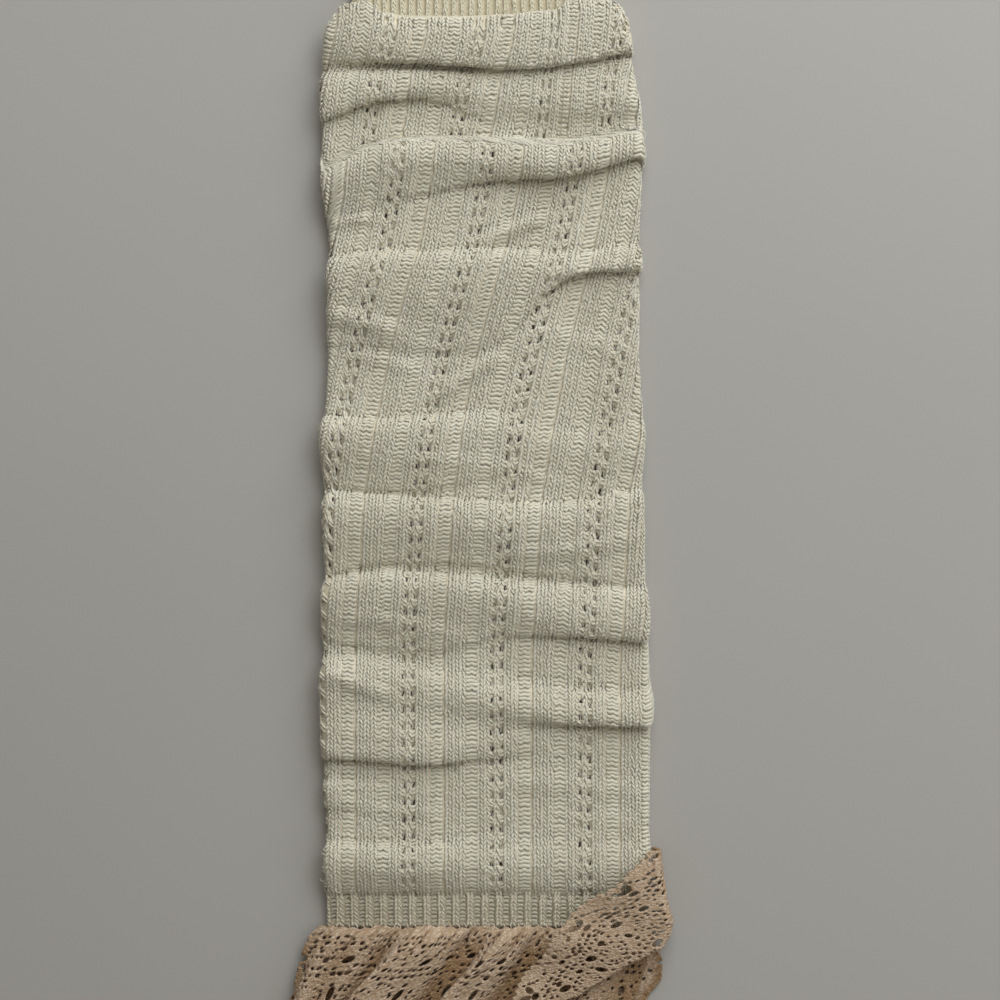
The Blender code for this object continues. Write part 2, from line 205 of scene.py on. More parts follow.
# The folds. A value is one number, or six for SIX_PLACES across the leg, or pairs of place and value.
# A round side is a quarter of an oval, squarer on the lower side, and one that isn't round is a soft
# squared cosine. A fold whose lower side leans another way than its upper side gives lean_down too.
SIX_PLACES = (-60.0, -40.0, -18.0, 5.0, 28.0, 58.0)
FOLD_COLUMNS = ("crest", "height", "reach_up", "reach_down", "lean", "round_up", "round_down", "lean_down")
FOLDS = {
    "above_hem": (
        (26.2, 24.5, 24, 24.5, 24, 23.5),
        (4.8, 5.2, 3.8, 2.6, 2.4, 2.4),
        (6.8, 7, 8, 11, 12, 12),
        11.5,
        0.1,
        (1, 1, 0.8, 0.2, 0, 0),
        0.3,
    ),
    "left_nick": (52, (2.2, 0.7, 0, 0, 0, 0), 4, 7, 0, 0.6, 0.6),
    "lower_sag": (
        (70, 69.5, 68, 70, 72, 73),
        (3.4, 4.0, 3.8, 2.0, 0.5, 0.3),
        (12, 12, 11, 10, 10, 10),
        (6.3, 6.6, 7.4, 6.5, 7, 7),
        (0, -0.1, -0.1, 0, 0, 0),
        0,
        (0.9, 0.9, 0.85, 0.6, 0.6, 0.6),
        (-0.4, -0.45, -0.35, 0, 0, 0),
    ),
    "low_swell": (
        (95, 92, 88, 84, 81, 79.5),
        (4.4, 4.2, 3.4, 3.8, 4.4, 4.6),
        (8, 9, 10, 10, 9, 8),
        (14, 14, 14, 13, 10, 9),
        (0.1, 0, 0, 0, -0.1, -0.1),
        (0.6, 0.5, 0.2, 0.3, 0.5, 0.5),
        (0.2, 0.2, 0.2, 0.2, 0.5, 0.8),
        (0.1, 0, 0, 0, -0.3, -0.4),
    ),
    "slanted_roll": (
        (123, 125.8, 124.8, 122.8, 118.8, 115.3),
        (5.4, 6.0, 5.8, 5.5, 5.2, 5.0),
        (6.4, 7, 7, 7.5, 8.8, 9.2),
        (20.8, 22.8, 20.8, 13.8, 9.3, 8.3),
        (0.1, 0.1, 0.1, 0, -0.1, -0.2),
        1,
        (0.3, 0.3, 0.35, 0.4, 0.7, 0.8),
        (0.1, 0.1, 0.1, 0, -0.35, -0.5),
    ),
    "middle_crease": (
        (155.4, 153.4, 151.2, 149.5, 150.2, 156.0),
        (5.4, 5.8, 5.8, 5.6, 5.0, 4.2),
        7.4,
        (24, 21, 19, 19, 20, 22),
        0.12,
        1,
        0.4,
    ),
    "upper_crease": (
        (182.3, 181.3, 182.6, 183.8, 177.8, 180.3),
        (5.2, 5.6, 4.4, 2.2, 1.2, 2.0),
        7.4,
        (20, 20, 18, 14, 12, 12),
        0.12,
        (1, 1, 1, 0.6, 0.5, 0.8),
        0.4,
    ),
    "edge_roll": (
        (241, 243.3, 243.3, 244.5, 243.5, 247.5),
        (5.2, 5.7, 5.2, 5.2, 4.0, 4.2),
        (6.6, 7, 6.6, 6.6, 6.2, 5.6),
        (26.5, 28.5, 30.5, 28.5, 4.0, 3.5),
        (0.1, 0.1, 0.1, 0.1, -0.1, -0.15),
        1,
        (0.35, 0.35, 0.35, 0.3, 0.8, 0.8),
        (0.1, 0.1, 0.1, 0.1, -0.3, -0.35),
    ),
    "big_fold": (
        (272.3, 282.3, 284.6, 285.1, 285.3, 290.8),
        (4.4, 6.0, 6.0, 6.2, 6.2, 5.2),
        (6.4, 7, 7.3, 8.4, 7.6, 5.6),
        (14.8, 14.8, 11.8, 7.9, 6.4, 4.2),
        (0.2, 0.2, 0.1, -0.1, -0.15, -0.2),
        1,
        (0.3, 0.3, 0.4, 0.7, 0.8, 0.8),
        (0.2, 0.2, 0.1, -0.35, -0.5, -0.5),
    ),
    "under_roll": (
        (309.5, 312.3, 312.3, 308, 306, 307),
        (4.4, 4.6, 4.0, 3.0, 3.0, 3.2),
        (7.5, 6, 6, 10.5, 13, 17),
        (8, 5.6, 5.8, 12, 13, 12),
        (-0.1, -0.1, -0.1, 0, 0, 0),
        (0.9, 0.9, 0.9, 0.8, 0.7, 0.5),
        (0.9, 0.9, 0.6, 0.2, 0.1, 0.1),
        (-0.5, -0.5, -0.35, 0, 0, 0),
    ),
    "top_blouse": (
        (326, 327.5, 328, 328, 330, 332),
        (4.4, 6.0, 6.4, 6.4, 6.2, 4.8),
        8.5,
        (8.5, 9.5, 9.5, 9.5, 8, 6),
        (
            (-60, 1.1),
            (-52, 2.0),
            (-44, 2.0),
            (-37, 0.7),
            (-30, 0.25),
            (-3, 0.15),
            (6, 0.4),
            (20, 0.85),
            (26, 1.0),
            (31, 1.8),
            (45, 1.9),
            (58, 1.3),
        ),
        0.9,
        (0.3, 0.75, 0.95, 0.95, 0.95, 0.9),
        (0.2, -0.2, -0.5, -0.5, -0.5, -0.2),
    ),
}

# How far from its crest a fold keeps its lean, the powers of its two ovals, how ridges end, and the waves
LEAN_HOLD = 8.0
UPPER_OVAL = 2.0
LOWER_OVAL = 3.2
RIDGE_END = 6.0
RIDGE_FADE = 10.0
WAVE_HEIGHT = 0.3
WAVE_START = 8.0

# Soft ridges between the folds: start x, start distance, end x, end distance, height, half width
RIDGES = (
    (-5.0, 251.5, 22.0, 263.0, 2.0, 4.5),
    (-16.0, 197.0, 4.0, 209.5, 1.8, 5.0),
    (-56.0, 228.0, -34.0, 221.0, 1.6, 5.0),
    (-50.0, 214.0, -28.0, 207.0, 0.9, 4.0),
    (20.0, 222.0, 52.0, 214.0, 0.7, 6.0),
    (-30.0, 173.0, 30.0, 168.0, 0.6, 4.0),
    (10.0, 141.0, 55.0, 143.5, 0.9, 4.0),
    (-52.0, 111.0, -10.0, 107.0, 0.8, 5.0),
    (-58.0, 86.0, -36.0, 83.0, 1.2, 3.5),
    (10.0, 55.0, 58.0, 51.0, 0.8, 6.0),
    (-55.0, 46.0, -20.0, 43.0, 0.7, 4.0),
    (-60.0, 268.0, -42.0, 264.0, 1.4, 3.5),
)

# Rows and ground of the knit, and the grid on which its surface is worked out
ROW = 1.56
# The ground shows between the stitches and through the eyelets; its colour is the yarn's a little darker
# and warmer, painted shade in the gaps and holes
GROUND_PAINTED_SHADE = 0.98
GROUND_PAINTED_WARMTH = 0.05
# The ribbed bands' ground is painted much darker, as painted shade between their ribs and purl bumps
RIB_GROUND_PAINTED_SHADE = 0.8
LATTICE_STEP = 1.3
FINE_ROWS = 1100
# The rows are as many as fit along the wale that is longer than this percentage of the others
LONG_WALE = 70

# Lace frill
FRILL_DEPTH = 47.0
SEAM_GAP = -0.5
THREAD_PITCH = 2.7
THREAD_REACH = 1.3
THREAD_WIDTH = 0.42
FRONT_LACE = 198.0
BACK_LACE = 180.0
TURNED_LACE = 90.0
FRILL_SWAY = 0.35
FRILL_LEAN = 1.15
LEAN_DEPTH = 24.0
GATHER = 0.15
GATHER_DEPTH = 9.0
SIDE_SHARE = 0.08
SEAM_FULLNESS = 0.55
SEAM_RISE = 3.6
FULLNESS_POWER = 0.8
SEWN_DEPTH = 3.0
SEWN_HEIGHT = 3.2
# Painted shade on the lace, by its mask hollow: on the turned corner it is whole below the first height and
# gone above the second; on the frill it keeps off ruffles higher than the share and grows in over the depth
# below the seam
PAINTED_SHADE_FROM = 4.0
PAINTED_SHADE_TO = 9.5
PAINTED_SHADE_SHARE = 0.4
PAINTED_SHADE_DEPTH = 10.0
PLEAT_DEPTH = 1.3
FRILL_LOW = 4.3
FRILL_SIDE_LOW = 2.8
FRILL_RISE = 9.6
BACK_LOW = 0.62
BACK_RISE = 1.5
LACE_REPEAT = 18.0
LACE_GRAIN = 1.2
# Colour that multiplies the lace by its mask hollow: painted shade that browns it in the gathers, the
# pleats and under the turned corner
LACE_PAINTED_SHADE = (0.66, 0.56, 0.43)
LACE_HALF_WALL = 0.5
# Share of that wall at a rim, how soon it is whole, the rim's cord, and the reach that pulls points to it
LACE_EDGE_WALL = 0.3
RIM_ROUND = 0.7
RIM_CORD = 0.14
RIM_CORD_IN = 0.45
RIM_CORD_WIDTH = 0.3
PULL_REACH = 0.62
FRONT_CELL = 0.40
BACK_CELL = 0.6
TURNED_CELL = 0.38
FRONT_GATHER = 0.76
EVEN_DEPTH = 17.0
BACK_GATHER = 0.68
HOLE_SHIFT = 0.30
HOLE_SIZE = 0.26
PICOT = 3.0
PICOT_HEIGHT = 1.0
SCALLOP = 1.0
EDGE_ROOM = 1.3
GATHERS = 17
FRONT_FRILL_EDGES = (
    (0, -61.5, 60),
    (3, -65, 60),
    (7.4, -67.2, 60),
    (13, -68.8, 60),
    (25.5, -71.8, 56),
    (47, -80, 46),
)
BACK_FRILL_EDGES = ((0, -60, 60.5), (13, -67, 66), (20, -68, 65.5), (25.5, -71.5, 61), (47, -80, 50))
FRONT_RUFFLES = (
    (0.0, 0.0),
    (0.06, 0.40),
    (0.13, 0.2),
    (0.20, 0.35),
    (0.255, 0.0),
    (0.31, 1.0),
    (0.375, 0.85),
    (0.44, 0.45),
    (0.475, 0.0),
    (0.53, 0.0),
    (0.58, 0.95),
    (0.635, 0.6),
    (0.67, 0.0),
    (0.71, 0.05),
    (0.76, 0.3),
    (0.83, 0.0),
    (0.90, 0.30),
    (1.0, 0.0),
)
# Pleats that start at the seam: share of the frill's width, length down the lace, depth, half width
FRONT_PLEATS = (
    (0.055, 9.0, 1.0, 1.0),
    (0.132, 15.0, 1.6, 0.9),
    (0.19, 8.0, 0.9, 0.8),
    (0.25, 18.0, 2.2, 1.0),
    (0.30, 6.0, 0.8, 0.7),
    (0.345, 14.0, 2.0, 0.9),
    (0.395, 7.0, 1.0, 0.8),
    (0.43, 12.0, 1.8, 0.9),
    (0.48, 13.0, 2.0, 0.9),
    (0.56, 10.0, 1.6, 1.0),
    (0.625, 16.0, 2.0, 1.0),
    (0.70, 9.0, 1.2, 0.9),
    (0.78, 10.0, 1.2, 0.9),
    (0.87, 9.0, 1.0, 0.9),
)
BACK_RUFFLES = tuple((step / 16, step % 2) for step in range(17))
TURNED_SECTIONS = (
    (59.5, 30.0, 64.6, 29.6, 1.2, 9.2),
    (56.1, 24.7, 65.2, 22.0, 1.2, 9.4),
    (48.0, 17.7, 66.8, 11.4, 1.2, 9.8),
    (39.1, 12.5, 69.0, 3.3, 1.4, 10.2),
    (32.1, 7.4, 68.2, -0.7, 3.6, 10.4),
    (26.3, 1.0, 65.0, -5.5, 8.6, 10.8),
    (22.5, -6.0, 52.0, -11.8, 8.7, 10.9),
    (15.0, -14.5, 42.1, -17.7, 8.7, 10.9),
    (10.5, -21.0, 33.9, -22.9, 8.7, 10.9),
    (8.5, -27.0, 28.0, -28.0, 8.7, 10.9),
    (4.4, -37.0, 20.3, -38.0, 8.7, 10.9),
)
TURNED_FROM = 6.0
TURNED_BEND = 3.0
TURNED_WAVE = 1.6
TURNED_WAVES = 3

# Camera: the photo looks straight down on a square of this side, centred here
PHOTO_SIDE = 369.0
PHOTO_X = 5.5
PHOTO_Y = 158.7
CAMERA_HEIGHT = 700.0
SENSOR = 36.0

# Lamps: name, place from the photo's middle in metres, side in metres, power in watts
LAMPS = (("window", (0.40, 1.02, 0.76), 1.3, 20.0), ("room", (0.95, -0.15, 0.75), 1.0, 2.6))
LAMP_COLOUR = (0.95, 0.98, 1.0)
ROOM_COLOUR = (1.0, 0.93, 0.82)
ROOM_LIGHT = 0.20


class LegWarmerFinish(bpy.types.PropertyGroup):
    """Colours and sizes that a user would change."""

    yarn: FloatVectorProperty(
        name="Yarn", description="Colour of the knit", default=(0.73, 0.695, 0.555), subtype="COLOR")
    cuff: FloatVectorProperty(
        name="Cuff", description="Colour of the top cuff", default=(0.79, 0.74, 0.55), subtype="COLOR")
    lace: FloatVectorProperty(
        name="Lace", description="Colour of the lace cotton", default=(0.66, 0.54, 0.415), subtype="COLOR")
    table: FloatVectorProperty(
        name="Table", description="Colour of the table", default=(0.43, 0.415, 0.385), subtype="COLOR")
    yarn_width: FloatProperty(
        name="Yarn width", description="Width of one leg of a stitch", default=1.46 * MM, unit="LENGTH")


# Numbers and tables

def read_table(table, at, column=1):
    """Value of a table's column at places given in the units of its first column, straight between rows."""
    rows = np.array(table, float)
    return np.interp(at, rows[:, 0], rows[:, column])


def soft_table(table, at):
    """As read_table, but each step between two rows is an S curve, so no row shows as a corner."""
    rows = np.array(table, float)
    at = np.clip(at, rows[0, 0], rows[-1, 0])
    step = np.clip(np.searchsorted(rows[:, 0], at, side="right") - 1, 0, len(rows) - 2)
    share = soft_step((at - rows[step, 0]) / (rows[step + 1, 0] - rows[step, 0]))
    return rows[step, 1] + (rows[step + 1, 1] - rows[step, 1]) * share


def soft_step(share):
    """S curve from 0 to 1: three times the square less twice the cube."""
    share = np.clip(share, 0, 1)
    return share * share * (3 - 2 * share)


def across(values, x):
    """A fold's value at x: one number is the same everywhere, pairs are joined by S curves, and six are
    joined by a cubic curve, each span a Hermite cubic whose end slopes are those of its neighbours."""
    values = np.array(values, float)
    if values.ndim == 0:
        return values + 0 * x
    if values.ndim == 2:
        return soft_table(values, x)
    places = np.array(SIX_PLACES)
    slopes = np.gradient(values, places)
    x = np.clip(x, places[0], places[-1])
    k = np.clip(np.searchsorted(places, x, side="right") - 1, 0, len(places) - 2)
    span = places[k + 1] - places[k]
    t = (x - places[k]) / span
    return (
        (2 * t ** 3 - 3 * t ** 2 + 1) * values[k]
        + (t ** 3 - 2 * t ** 2 + t) * span * slopes[k]
        + (3 * t ** 2 - 2 * t ** 3) * values[k + 1]
        + (t ** 3 - t ** 2) * span * slopes[k + 1]
    )


def unit(vectors):
    return vectors / np.maximum(np.linalg.norm(vectors, axis=-1, keepdims=True), 1e-9)


# Meshes

def make_piece(name, points, faces, material, attributes=None):
    """A mesh object from points in millimetres and arrays of triangles and quads. Each attribute holds
    one number for each point, and UVMap one pair."""
    mesh = bpy.data.meshes.new(name)
    placed = np.asarray(points, float).reshape(-1, 3) + (SEAM_X, SEAM_Y, 0)
    mesh.vertices.add(len(placed))
    mesh.vertices.foreach_set("co", (placed * MM).ravel())
    sizes = np.concatenate([np.full(len(f), f.shape[1]) for f in faces if len(f)])
    corners = np.concatenate([f.ravel() for f in faces if len(f)]).astype(np.int32)
    mesh.loops.add(len(corners))
    mesh.loops.foreach_set("vertex_index", corners)
    mesh.polygons.add(len(sizes))
    mesh.polygons.foreach_set("loop_start", (np.cumsum(sizes) - sizes).astype(np.int32))
    mesh.polygons.foreach_set("use_smooth", np.full(len(sizes), True))
    for key, values in (attributes or {}).items():
        if key == "UVMap":
            layer = mesh.uv_layers.new(name=key)
            layer.data.foreach_set("uv", np.asarray(values, float).reshape(-1, 2)[corners].ravel())
        else:
            mesh.attributes.new(key, "FLOAT", "POINT").data.foreach_set("value", np.ravel(values))
    mesh.update(calc_edges=True)
    mesh.validate()
    made = bpy.data.objects.new(name, mesh)
    made.data.materials.append(material)
    bpy.context.scene.collection.objects.link(made)
    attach(made, "root")
    return made


def strands(paths, normals, half_width, half_height, sides=3):
    """Spindles along paths: an ellipse of few sides stands square to the path, and its first and last
    points are tips. Returns points and faces of all strands together."""
    count, stations = paths.shape[:2]
    tangent = unit(np.gradient(paths, axis=1))
    side = unit(np.cross(normals, tangent))
    up = np.cross(tangent, side)
    angle = np.pi / 2 + np.arange(sides) * 2 * np.pi / sides
    half_width = np.broadcast_to(half_width, paths.shape[:2])[:, 1:-1, None, None]
    half_height = np.broadcast_to(half_height, paths.shape[:2])[:, 1:-1, None, None]
    rings = (
        paths[:, 1:-1, None]
        + side[:, 1:-1, None] * np.cos(angle)[:, None] * half_width
        + up[:, 1:-1, None] * np.sin(angle)[:, None] * half_height
    )
    inner = stations - 2
    points = np.concatenate([paths[:, :1], rings.reshape(count, -1, 3), paths[:, -1:]], axis=1)
    per = points.shape[1]
    j = np.arange(sides)
    k = (j + 1) % sides
    start_fan = np.stack([0 * j, 1 + k, 1 + j], axis=1)
    last = 1 + (inner - 1) * sides
    end_fan = np.stack([last + j, last + k, 0 * j + per - 1], axis=1)
    quads = [
        np.stack([a + j, a + k, a + sides + k, a + sides + j], axis=1)
        for a in 1 + sides * np.arange(inner - 1)
    ]
    first = (np.arange(count) * per)[:, None, None]
    fans = (np.concatenate([start_fan, end_fan])[None] + first).reshape(-1, 3)
    walls = (np.concatenate(quads)[None] + first).reshape(-1, 4) if quads else np.zeros((0, 4), int)
    return points.reshape(-1, 3), [fans, walls]


def grid_quads(rows, columns, closed_rows=False):
    """Corner numbers of the quads between a grid's points; closed_rows joins its last row to the first."""
    i = np.arange(rows if closed_rows else rows - 1)[:, None]
    j = np.arange(columns - 1)[None, :]
    a = i * columns + j
    b = ((i + 1) % rows) * columns + j
    return np.stack([a, b, b + 1, a + 1], axis=-1)


class Lattice:
    """A cloth surface as a closed grid: places round the tube, in millimetres of knit, and rows along it.

    It is read between its points by straight steps both ways, at a height along its normal."""

    def __init__(self, points, step):
        self.points = points
        self.step = step
        ring = np.roll(points, -1, axis=0) - np.roll(points, 1, axis=0)
        along = np.gradient(points, axis=1)
        self.normals = unit(np.cross(ring, along))
        self.rows = points.shape[1] - 1

    def at(self, place, row, height=0.0):
        place, row, height = np.broadcast_arrays(place, row, height)
        u = place / self.step
        i = np.floor(u).astype(int)
        v = np.clip(row, 0, self.rows - 1e-6)
        k = np.floor(v).astype(int)
        fu, fv = (u - i)[..., None], (v - k)[..., None]
        i0, i1 = i % len(self.points), (i + 1) % len(self.points)

        def mix(grid):
            low = grid[i0, k] * (1 - fu) + grid[i1, k] * fu
            high = grid[i0, k + 1] * (1 - fu) + grid[i1, k + 1] * fu
            return low * (1 - fv) + high * fv

        normal = unit(mix(self.normals))
        return mix(self.points) + normal * height[..., None], normal


# The leg's surface

def fold_list():
    return [dict(zip(FOLD_COLUMNS, row)) for row in FOLDS.values()]


def middle_of(fold):
    return np.mean(fold["crest"])


def along_folds(x, row, values, hold):
    """A pair of values that each fold holds below and above its crest, over its own reach and at most
    hold from its crest, with S steps from one to the next and 0 at the hem. At the top the last value
    stays where it is held."""
    places = [np.full_like(x, LEG_LOW)]
    held = [np.zeros_like(x)]
    for fold, pair in zip(fold_list(), values):
        for side, reach, value in ((-1, "reach_down", pair[0]), (1, "reach_up", pair[1])):
            places.append(middle_of(fold) + side * np.minimum(across(fold[reach], x), hold))
            held.append(value)
    places.append(np.full_like(x, LEG_END + 1))
    held.append(held[-1] if hold else np.zeros_like(x))
    found = np.zeros_like(x)
    for k in range(len(places) - 1):
        share = soft_step((row - places[k]) / np.maximum(places[k + 1] - places[k], 0.01))
        inside = (row >= places[k]) & (row <= places[k + 1])
        found = np.where(inside, held[k] + (held[k + 1] - held[k]) * share, found)
    return found


def fold_fields(x, row):
    """For places x across and row along the leg: the folds' lift, their lean and the shift of their lines.

    A fold's lift is its height times a share that goes from 1 at its crest to 0 at its reach: a squared
    cosine mixed with the quarter of an oval, share to the power n plus lift to the power n equal to 1.
    The soft ridges add a squared cosine across a line, fading over its ends, and two crossed waves keep
    the cloth between them uneven."""
    folds = fold_list()
    lift = np.zeros_like(x)
    for fold in folds:
        away = row - middle_of(fold)
        up = away > 0
        reach = np.where(up, across(fold["reach_up"], x), across(fold["reach_down"], x))
        roundness = np.where(up, across(fold["round_up"], x), across(fold["round_down"], x))
        share = np.clip(np.abs(away) / reach, 0, 1)
        soft = np.cos(share * np.pi / 2) ** 2
        power = np.where(up, UPPER_OVAL, LOWER_OVAL)
        oval = (1 - share ** power) ** (1 / power)
        lift += np.maximum(across(fold["height"], x), 0) * (soft + (oval - soft) * roundness)
    for x0, s0, x1, s1, height, width in RIDGES:
        length = np.hypot(x1 - x0, s1 - s0)
        along = ((x - x0) * (x1 - x0) + (row - s0) * (s1 - s0)) / length
        off = ((row - s0) * (x1 - x0) - (x - x0) * (s1 - s0)) / length
        ends = soft_step((along + RIDGE_END) / RIDGE_FADE)
        ends = ends * soft_step((length + RIDGE_END - along) / RIDGE_FADE)
        lift += height * ends * np.cos(np.clip(np.abs(off) / width, 0, 1) * np.pi / 2) ** 2
    waves = np.sin(x / 9.0 + row / 23.0) * np.sin(row / 7.3 - x / 31.0)
    lift += WAVE_HEIGHT * (1 + waves) * soft_step((row - LEG_START) / WAVE_START)
    leans = [(across(f.get("lean_down", f["lean"]), x), across(f["lean"], x)) for f in folds]
    shifts = [2 * [across(f["crest"], x) - middle_of(f)] for f in folds]
    lean = along_folds(x, row, leans, LEAN_HOLD)
    shift = along_folds(x, row, shifts, 0.0)
    return lift, lean, shift


def slot_ring(distance, left, right, thickness, inset):
    """Place round a flattened tube: distance runs from the left side over the top to the right side and
    back below. Gives x, z and the angle of the outward direction."""
    radius = thickness / 2
    curve = radius - inset
    flat = right - left - thickness
    half_round = np.pi * curve / 2
    whole = flat + 2 * half_round
    below = distance > whole
    d = np.where(below, 2 * whole - distance, distance)
    angle = np.where(
        d < half_round,
        np.pi - d / curve,
        np.where(d < half_round + flat, np.pi / 2, np.pi / 2 - (d - half_round - flat) / curve),
    )
    x = left + radius + np.clip(d - half_round, 0, flat) + curve * np.cos(angle)
    angle = np.where(below, -angle, angle)
    return x, radius + curve * np.sin(angle), angle


def leg_surface(place, row):
    """Point of the leg's shell for a place in the knit and a distance above the hem.

    The knit's front is laid at its true width and its back takes what is left, in wales that drift
    without the front's jump under its big fold. The ring is a flat slot with half-round sides. Folds
    lift its upper side and tip over by lean times lift."""
    left, right = read_table(LEG_EDGES, row), read_table(LEG_EDGES, row, 2)
    profile = read_table(KNIT_PROFILE, np.mod(place, REPEAT))
    ends = soft_step((LEG_END - row) / TOP_FADE)
    inset = YARN_ROOM + KNIT_GROOVE * (1 - profile) * ends
    half = right - left - LEG_THICKNESS + np.pi * (LEG_THICKNESS / 2 - inset)
    squeeze = read_table(WALE_DRIFT, row, 2)
    first = -half / 2 - (FIRST_COLUMN + read_table(WALE_DRIFT, row) - (left + right) / 2)
    knit_round = REPEAT * REPEATS_ROUND
    from_left = np.mod(place - first, knit_round)
    front = half + squeeze
    bend_from = half / 2 + BEND_PAST_MIDDLE
    squeezed = from_left - squeeze * soft_step((from_left - bend_from) / (front - bend_from))
    share = (from_left - front) / (knit_round - front)
    smooth_front = half + read_table(BACK_DRIFT, row, 2)
    smooth_first = first + read_table(WALE_DRIFT, row) - read_table(BACK_DRIFT, row)
    smooth = (np.mod(place - smooth_first, knit_round) - smooth_front) / (knit_round - smooth_front)
    inward = soft_step(2 * np.minimum(share, 1 - share))
    below = half + half * (share + np.clip(smooth - share, -BACK_LIMIT, BACK_LIMIT) * inward)
    to_hem = soft_step((LEG_START + HEM_MEET - row) / HEM_BLEND)
    thickness = LEG_THICKNESS + (HEM_THICKNESS - RIM_TUCK - LEG_THICKNESS) * to_hem
    x, z, angle = slot_ring(np.where(from_left < front, squeezed, below), left, right, thickness, inset)
    upper = soft_step((1 + np.sin(angle)) / 2)
    lift, lean, shift = fold_fields(x, row)
    return np.stack([
        x + np.cos(angle) * EDGE_BULGE * lift,
        row + (shift + lean * lift) * upper,
        z + lift * upper,
    ], axis=-1)


def leg_lattice():
    """The leg's surface with its rows spaced evenly along the cloth, over the folds too. Between one
    eyelet and the next the openwork columns swell, by a cosine of the row."""
    places = np.arange(round(REPEAT * REPEATS_ROUND / LATTICE_STEP)) * LATTICE_STEP
    fine = np.linspace(LEG_LOW, LEG_END, FINE_ROWS)
    ring, row = np.meshgrid(places, fine, indexing="ij")
    points = leg_surface(ring, row)
    steps = np.linalg.norm(np.diff(points, axis=1), axis=-1)
    run = np.concatenate([np.zeros((len(places), 1)), np.cumsum(steps, axis=1)], axis=1)
    count = int(round(np.percentile(run[:, -1], LONG_WALE) / ROW))
    share = np.linspace(0, 1, count + 1)
    spaced = np.array([np.interp(share * r[-1], r, fine) for r in run])
    plain = Lattice(leg_surface(ring[:, :1] + 0 * spaced, spaced), LATTICE_STEP)
    from_column = np.abs(np.mod(places + REPEAT / 2, REPEAT) - REPEAT / 2)
    swell = np.cos(2 * np.pi * (np.arange(count + 1) - EYELET_MIDDLE) / EYELET_ROWS)
    pucker = -EYELET_PUCKER * np.exp(-(from_column / PUCKER_WIDTH) ** 2)[:, None] * swell[None, :]
    return Lattice(plain.points + plain.normals * pucker[..., None], LATTICE_STEP)


def band_lattice(start, end, left, right, thickness, pitch, pairs, groove, drop, overlap):
    """A short straight band. Its shell has a groove between each two ribs, and pairs ribs stand all
    round. The upper side comes down by drop towards the start, and overlap rows lie past the end."""
    round_length = pitch * pairs
    count = pairs * 4
    places = np.arange(count) * round_length / count
    rows = int(round((end - start) / ROW))
    step = (end - start) / rows
    place, row = np.meshgrid(places, start + step * np.arange(rows + overlap + 1), indexing="ij")
    inset = YARN_ROOM + groove - groove * np.cos(2 * np.pi * place / pitch)
    whole = right - left - thickness + np.pi * (thickness / 2 - inset)
    x, z, angle = slot_ring(place * 2 * whole / round_length, left, right, thickness, inset)
    upper = soft_step((1 + np.sin(angle)) / 2)
    z = z - drop * upper * soft_step((end - row) / (end - start))
    return Lattice(np.stack([x, row, z], axis=-1), round_length / count)


# Stitches

# A leg's path lists share of the spread, rows up and height. Scatters are in millimetres or rows.
LEG_PATH = ((1.02, -0.90, -0.08), (0.86, -0.35, 0.07), (0.47, 0.38, 0.10), (0.08, 1.00, -0.10))
PLAIN_PATH = ((0.90, -0.75, -0.15), (0.55, 0.15, 0.03), (0.12, 0.95, -0.15))
STITCH_SPREAD = 1.14
STITCH_SCATTER = 0.09
ROW_SCATTER = 0.06
POINT_SCATTER = 0.05
HEIGHT_SCATTER = 0.035
YARN_FLATNESS = 0.32
RIB_FLATNESS = 0.7

# Spread of the openwork's middle stitches, least and added, and the normal's height that ends the front
CENTRE_SPREAD = 0.62
BLOB_SPREAD = 1.25
UNDERSIDE = -0.45

# A purl yarn: half its length, its rise, wave and scatter, and its width and height by the yarn's
PURL_REACH = 2.45
PURL_RISE = 0.15
PURL_WAVE = 0.24
PURL_SCATTER = 0.10
PURL_WIDTH = 1.55
PURL_HEIGHT = 0.38

# Yarns that close the openwork: place, row and height along a bar, and the fine threads over an eyelet
EYELET_BAR = ((-1.2, -0.45, -0.15), (-0.5, -0.15, 0.12), (0.5, 0.25, 0.12), (1.2, 0.55, -0.15))
THREAD_SLANT = 0.75
THREAD_HEIGHT = -0.15

# Fuzz: stray fibres and pulled loops
FIBRES = 24000
FIBRE_WIDTH = 0.11
FIBRE_REACH = 1.1
FIBRE_HEIGHT = 1.3
LOOPS = 110
LOOP_YARN = 0.32


def stitch_legs(lattice, place, row, spread, width, rng, path, flatness=YARN_FLATNESS):
    """Both legs of each knit stitch, leaning together towards the top. path lists share of the spread,
    rows up and height for each point of a leg."""
    table = np.array(path)
    place = place[:, None] + rng.normal(0, STITCH_SCATTER, (len(place), 1))
    row = row[:, None] + rng.normal(0, ROW_SCATTER, (len(row), 1))
    spread = np.broadcast_to(spread, place.shape[:1])[:, None] * rng.uniform(0.9, 1.1, (len(place), 1))
    found = []
    for side in (-1, 1):
        points, normals = lattice.at(
            place + side * (table[:, 0] * spread + rng.normal(0, POINT_SCATTER, place.shape)),
            row + table[:, 1],
            table[:, 2] + rng.normal(0, HEIGHT_SCATTER, place.shape),
        )
        found.append((points, normals))
    paths = np.concatenate([f[0] for f in found])
    normals = np.concatenate([f[1] for f in found])
    half = width / 2 * rng.uniform(0.88, 1.12, (len(paths), 1))
    return strands(paths, normals, half, half * flatness)


def join(parts):
    """Several sets of strands as one: points one after another, and the faces' corner numbers moved on."""
    points, faces, first = [], [], 0
    for part in parts:
        points.append(part[0])
        faces += [f + first for f in part[1]]
        first += len(part[0])
    tris = [f for f in faces if f.shape[1] == 3]
    quads = [f for f in faces if f.shape[1] == 4]
    return np.concatenate(points), [np.concatenate(tris), np.concatenate(quads)]


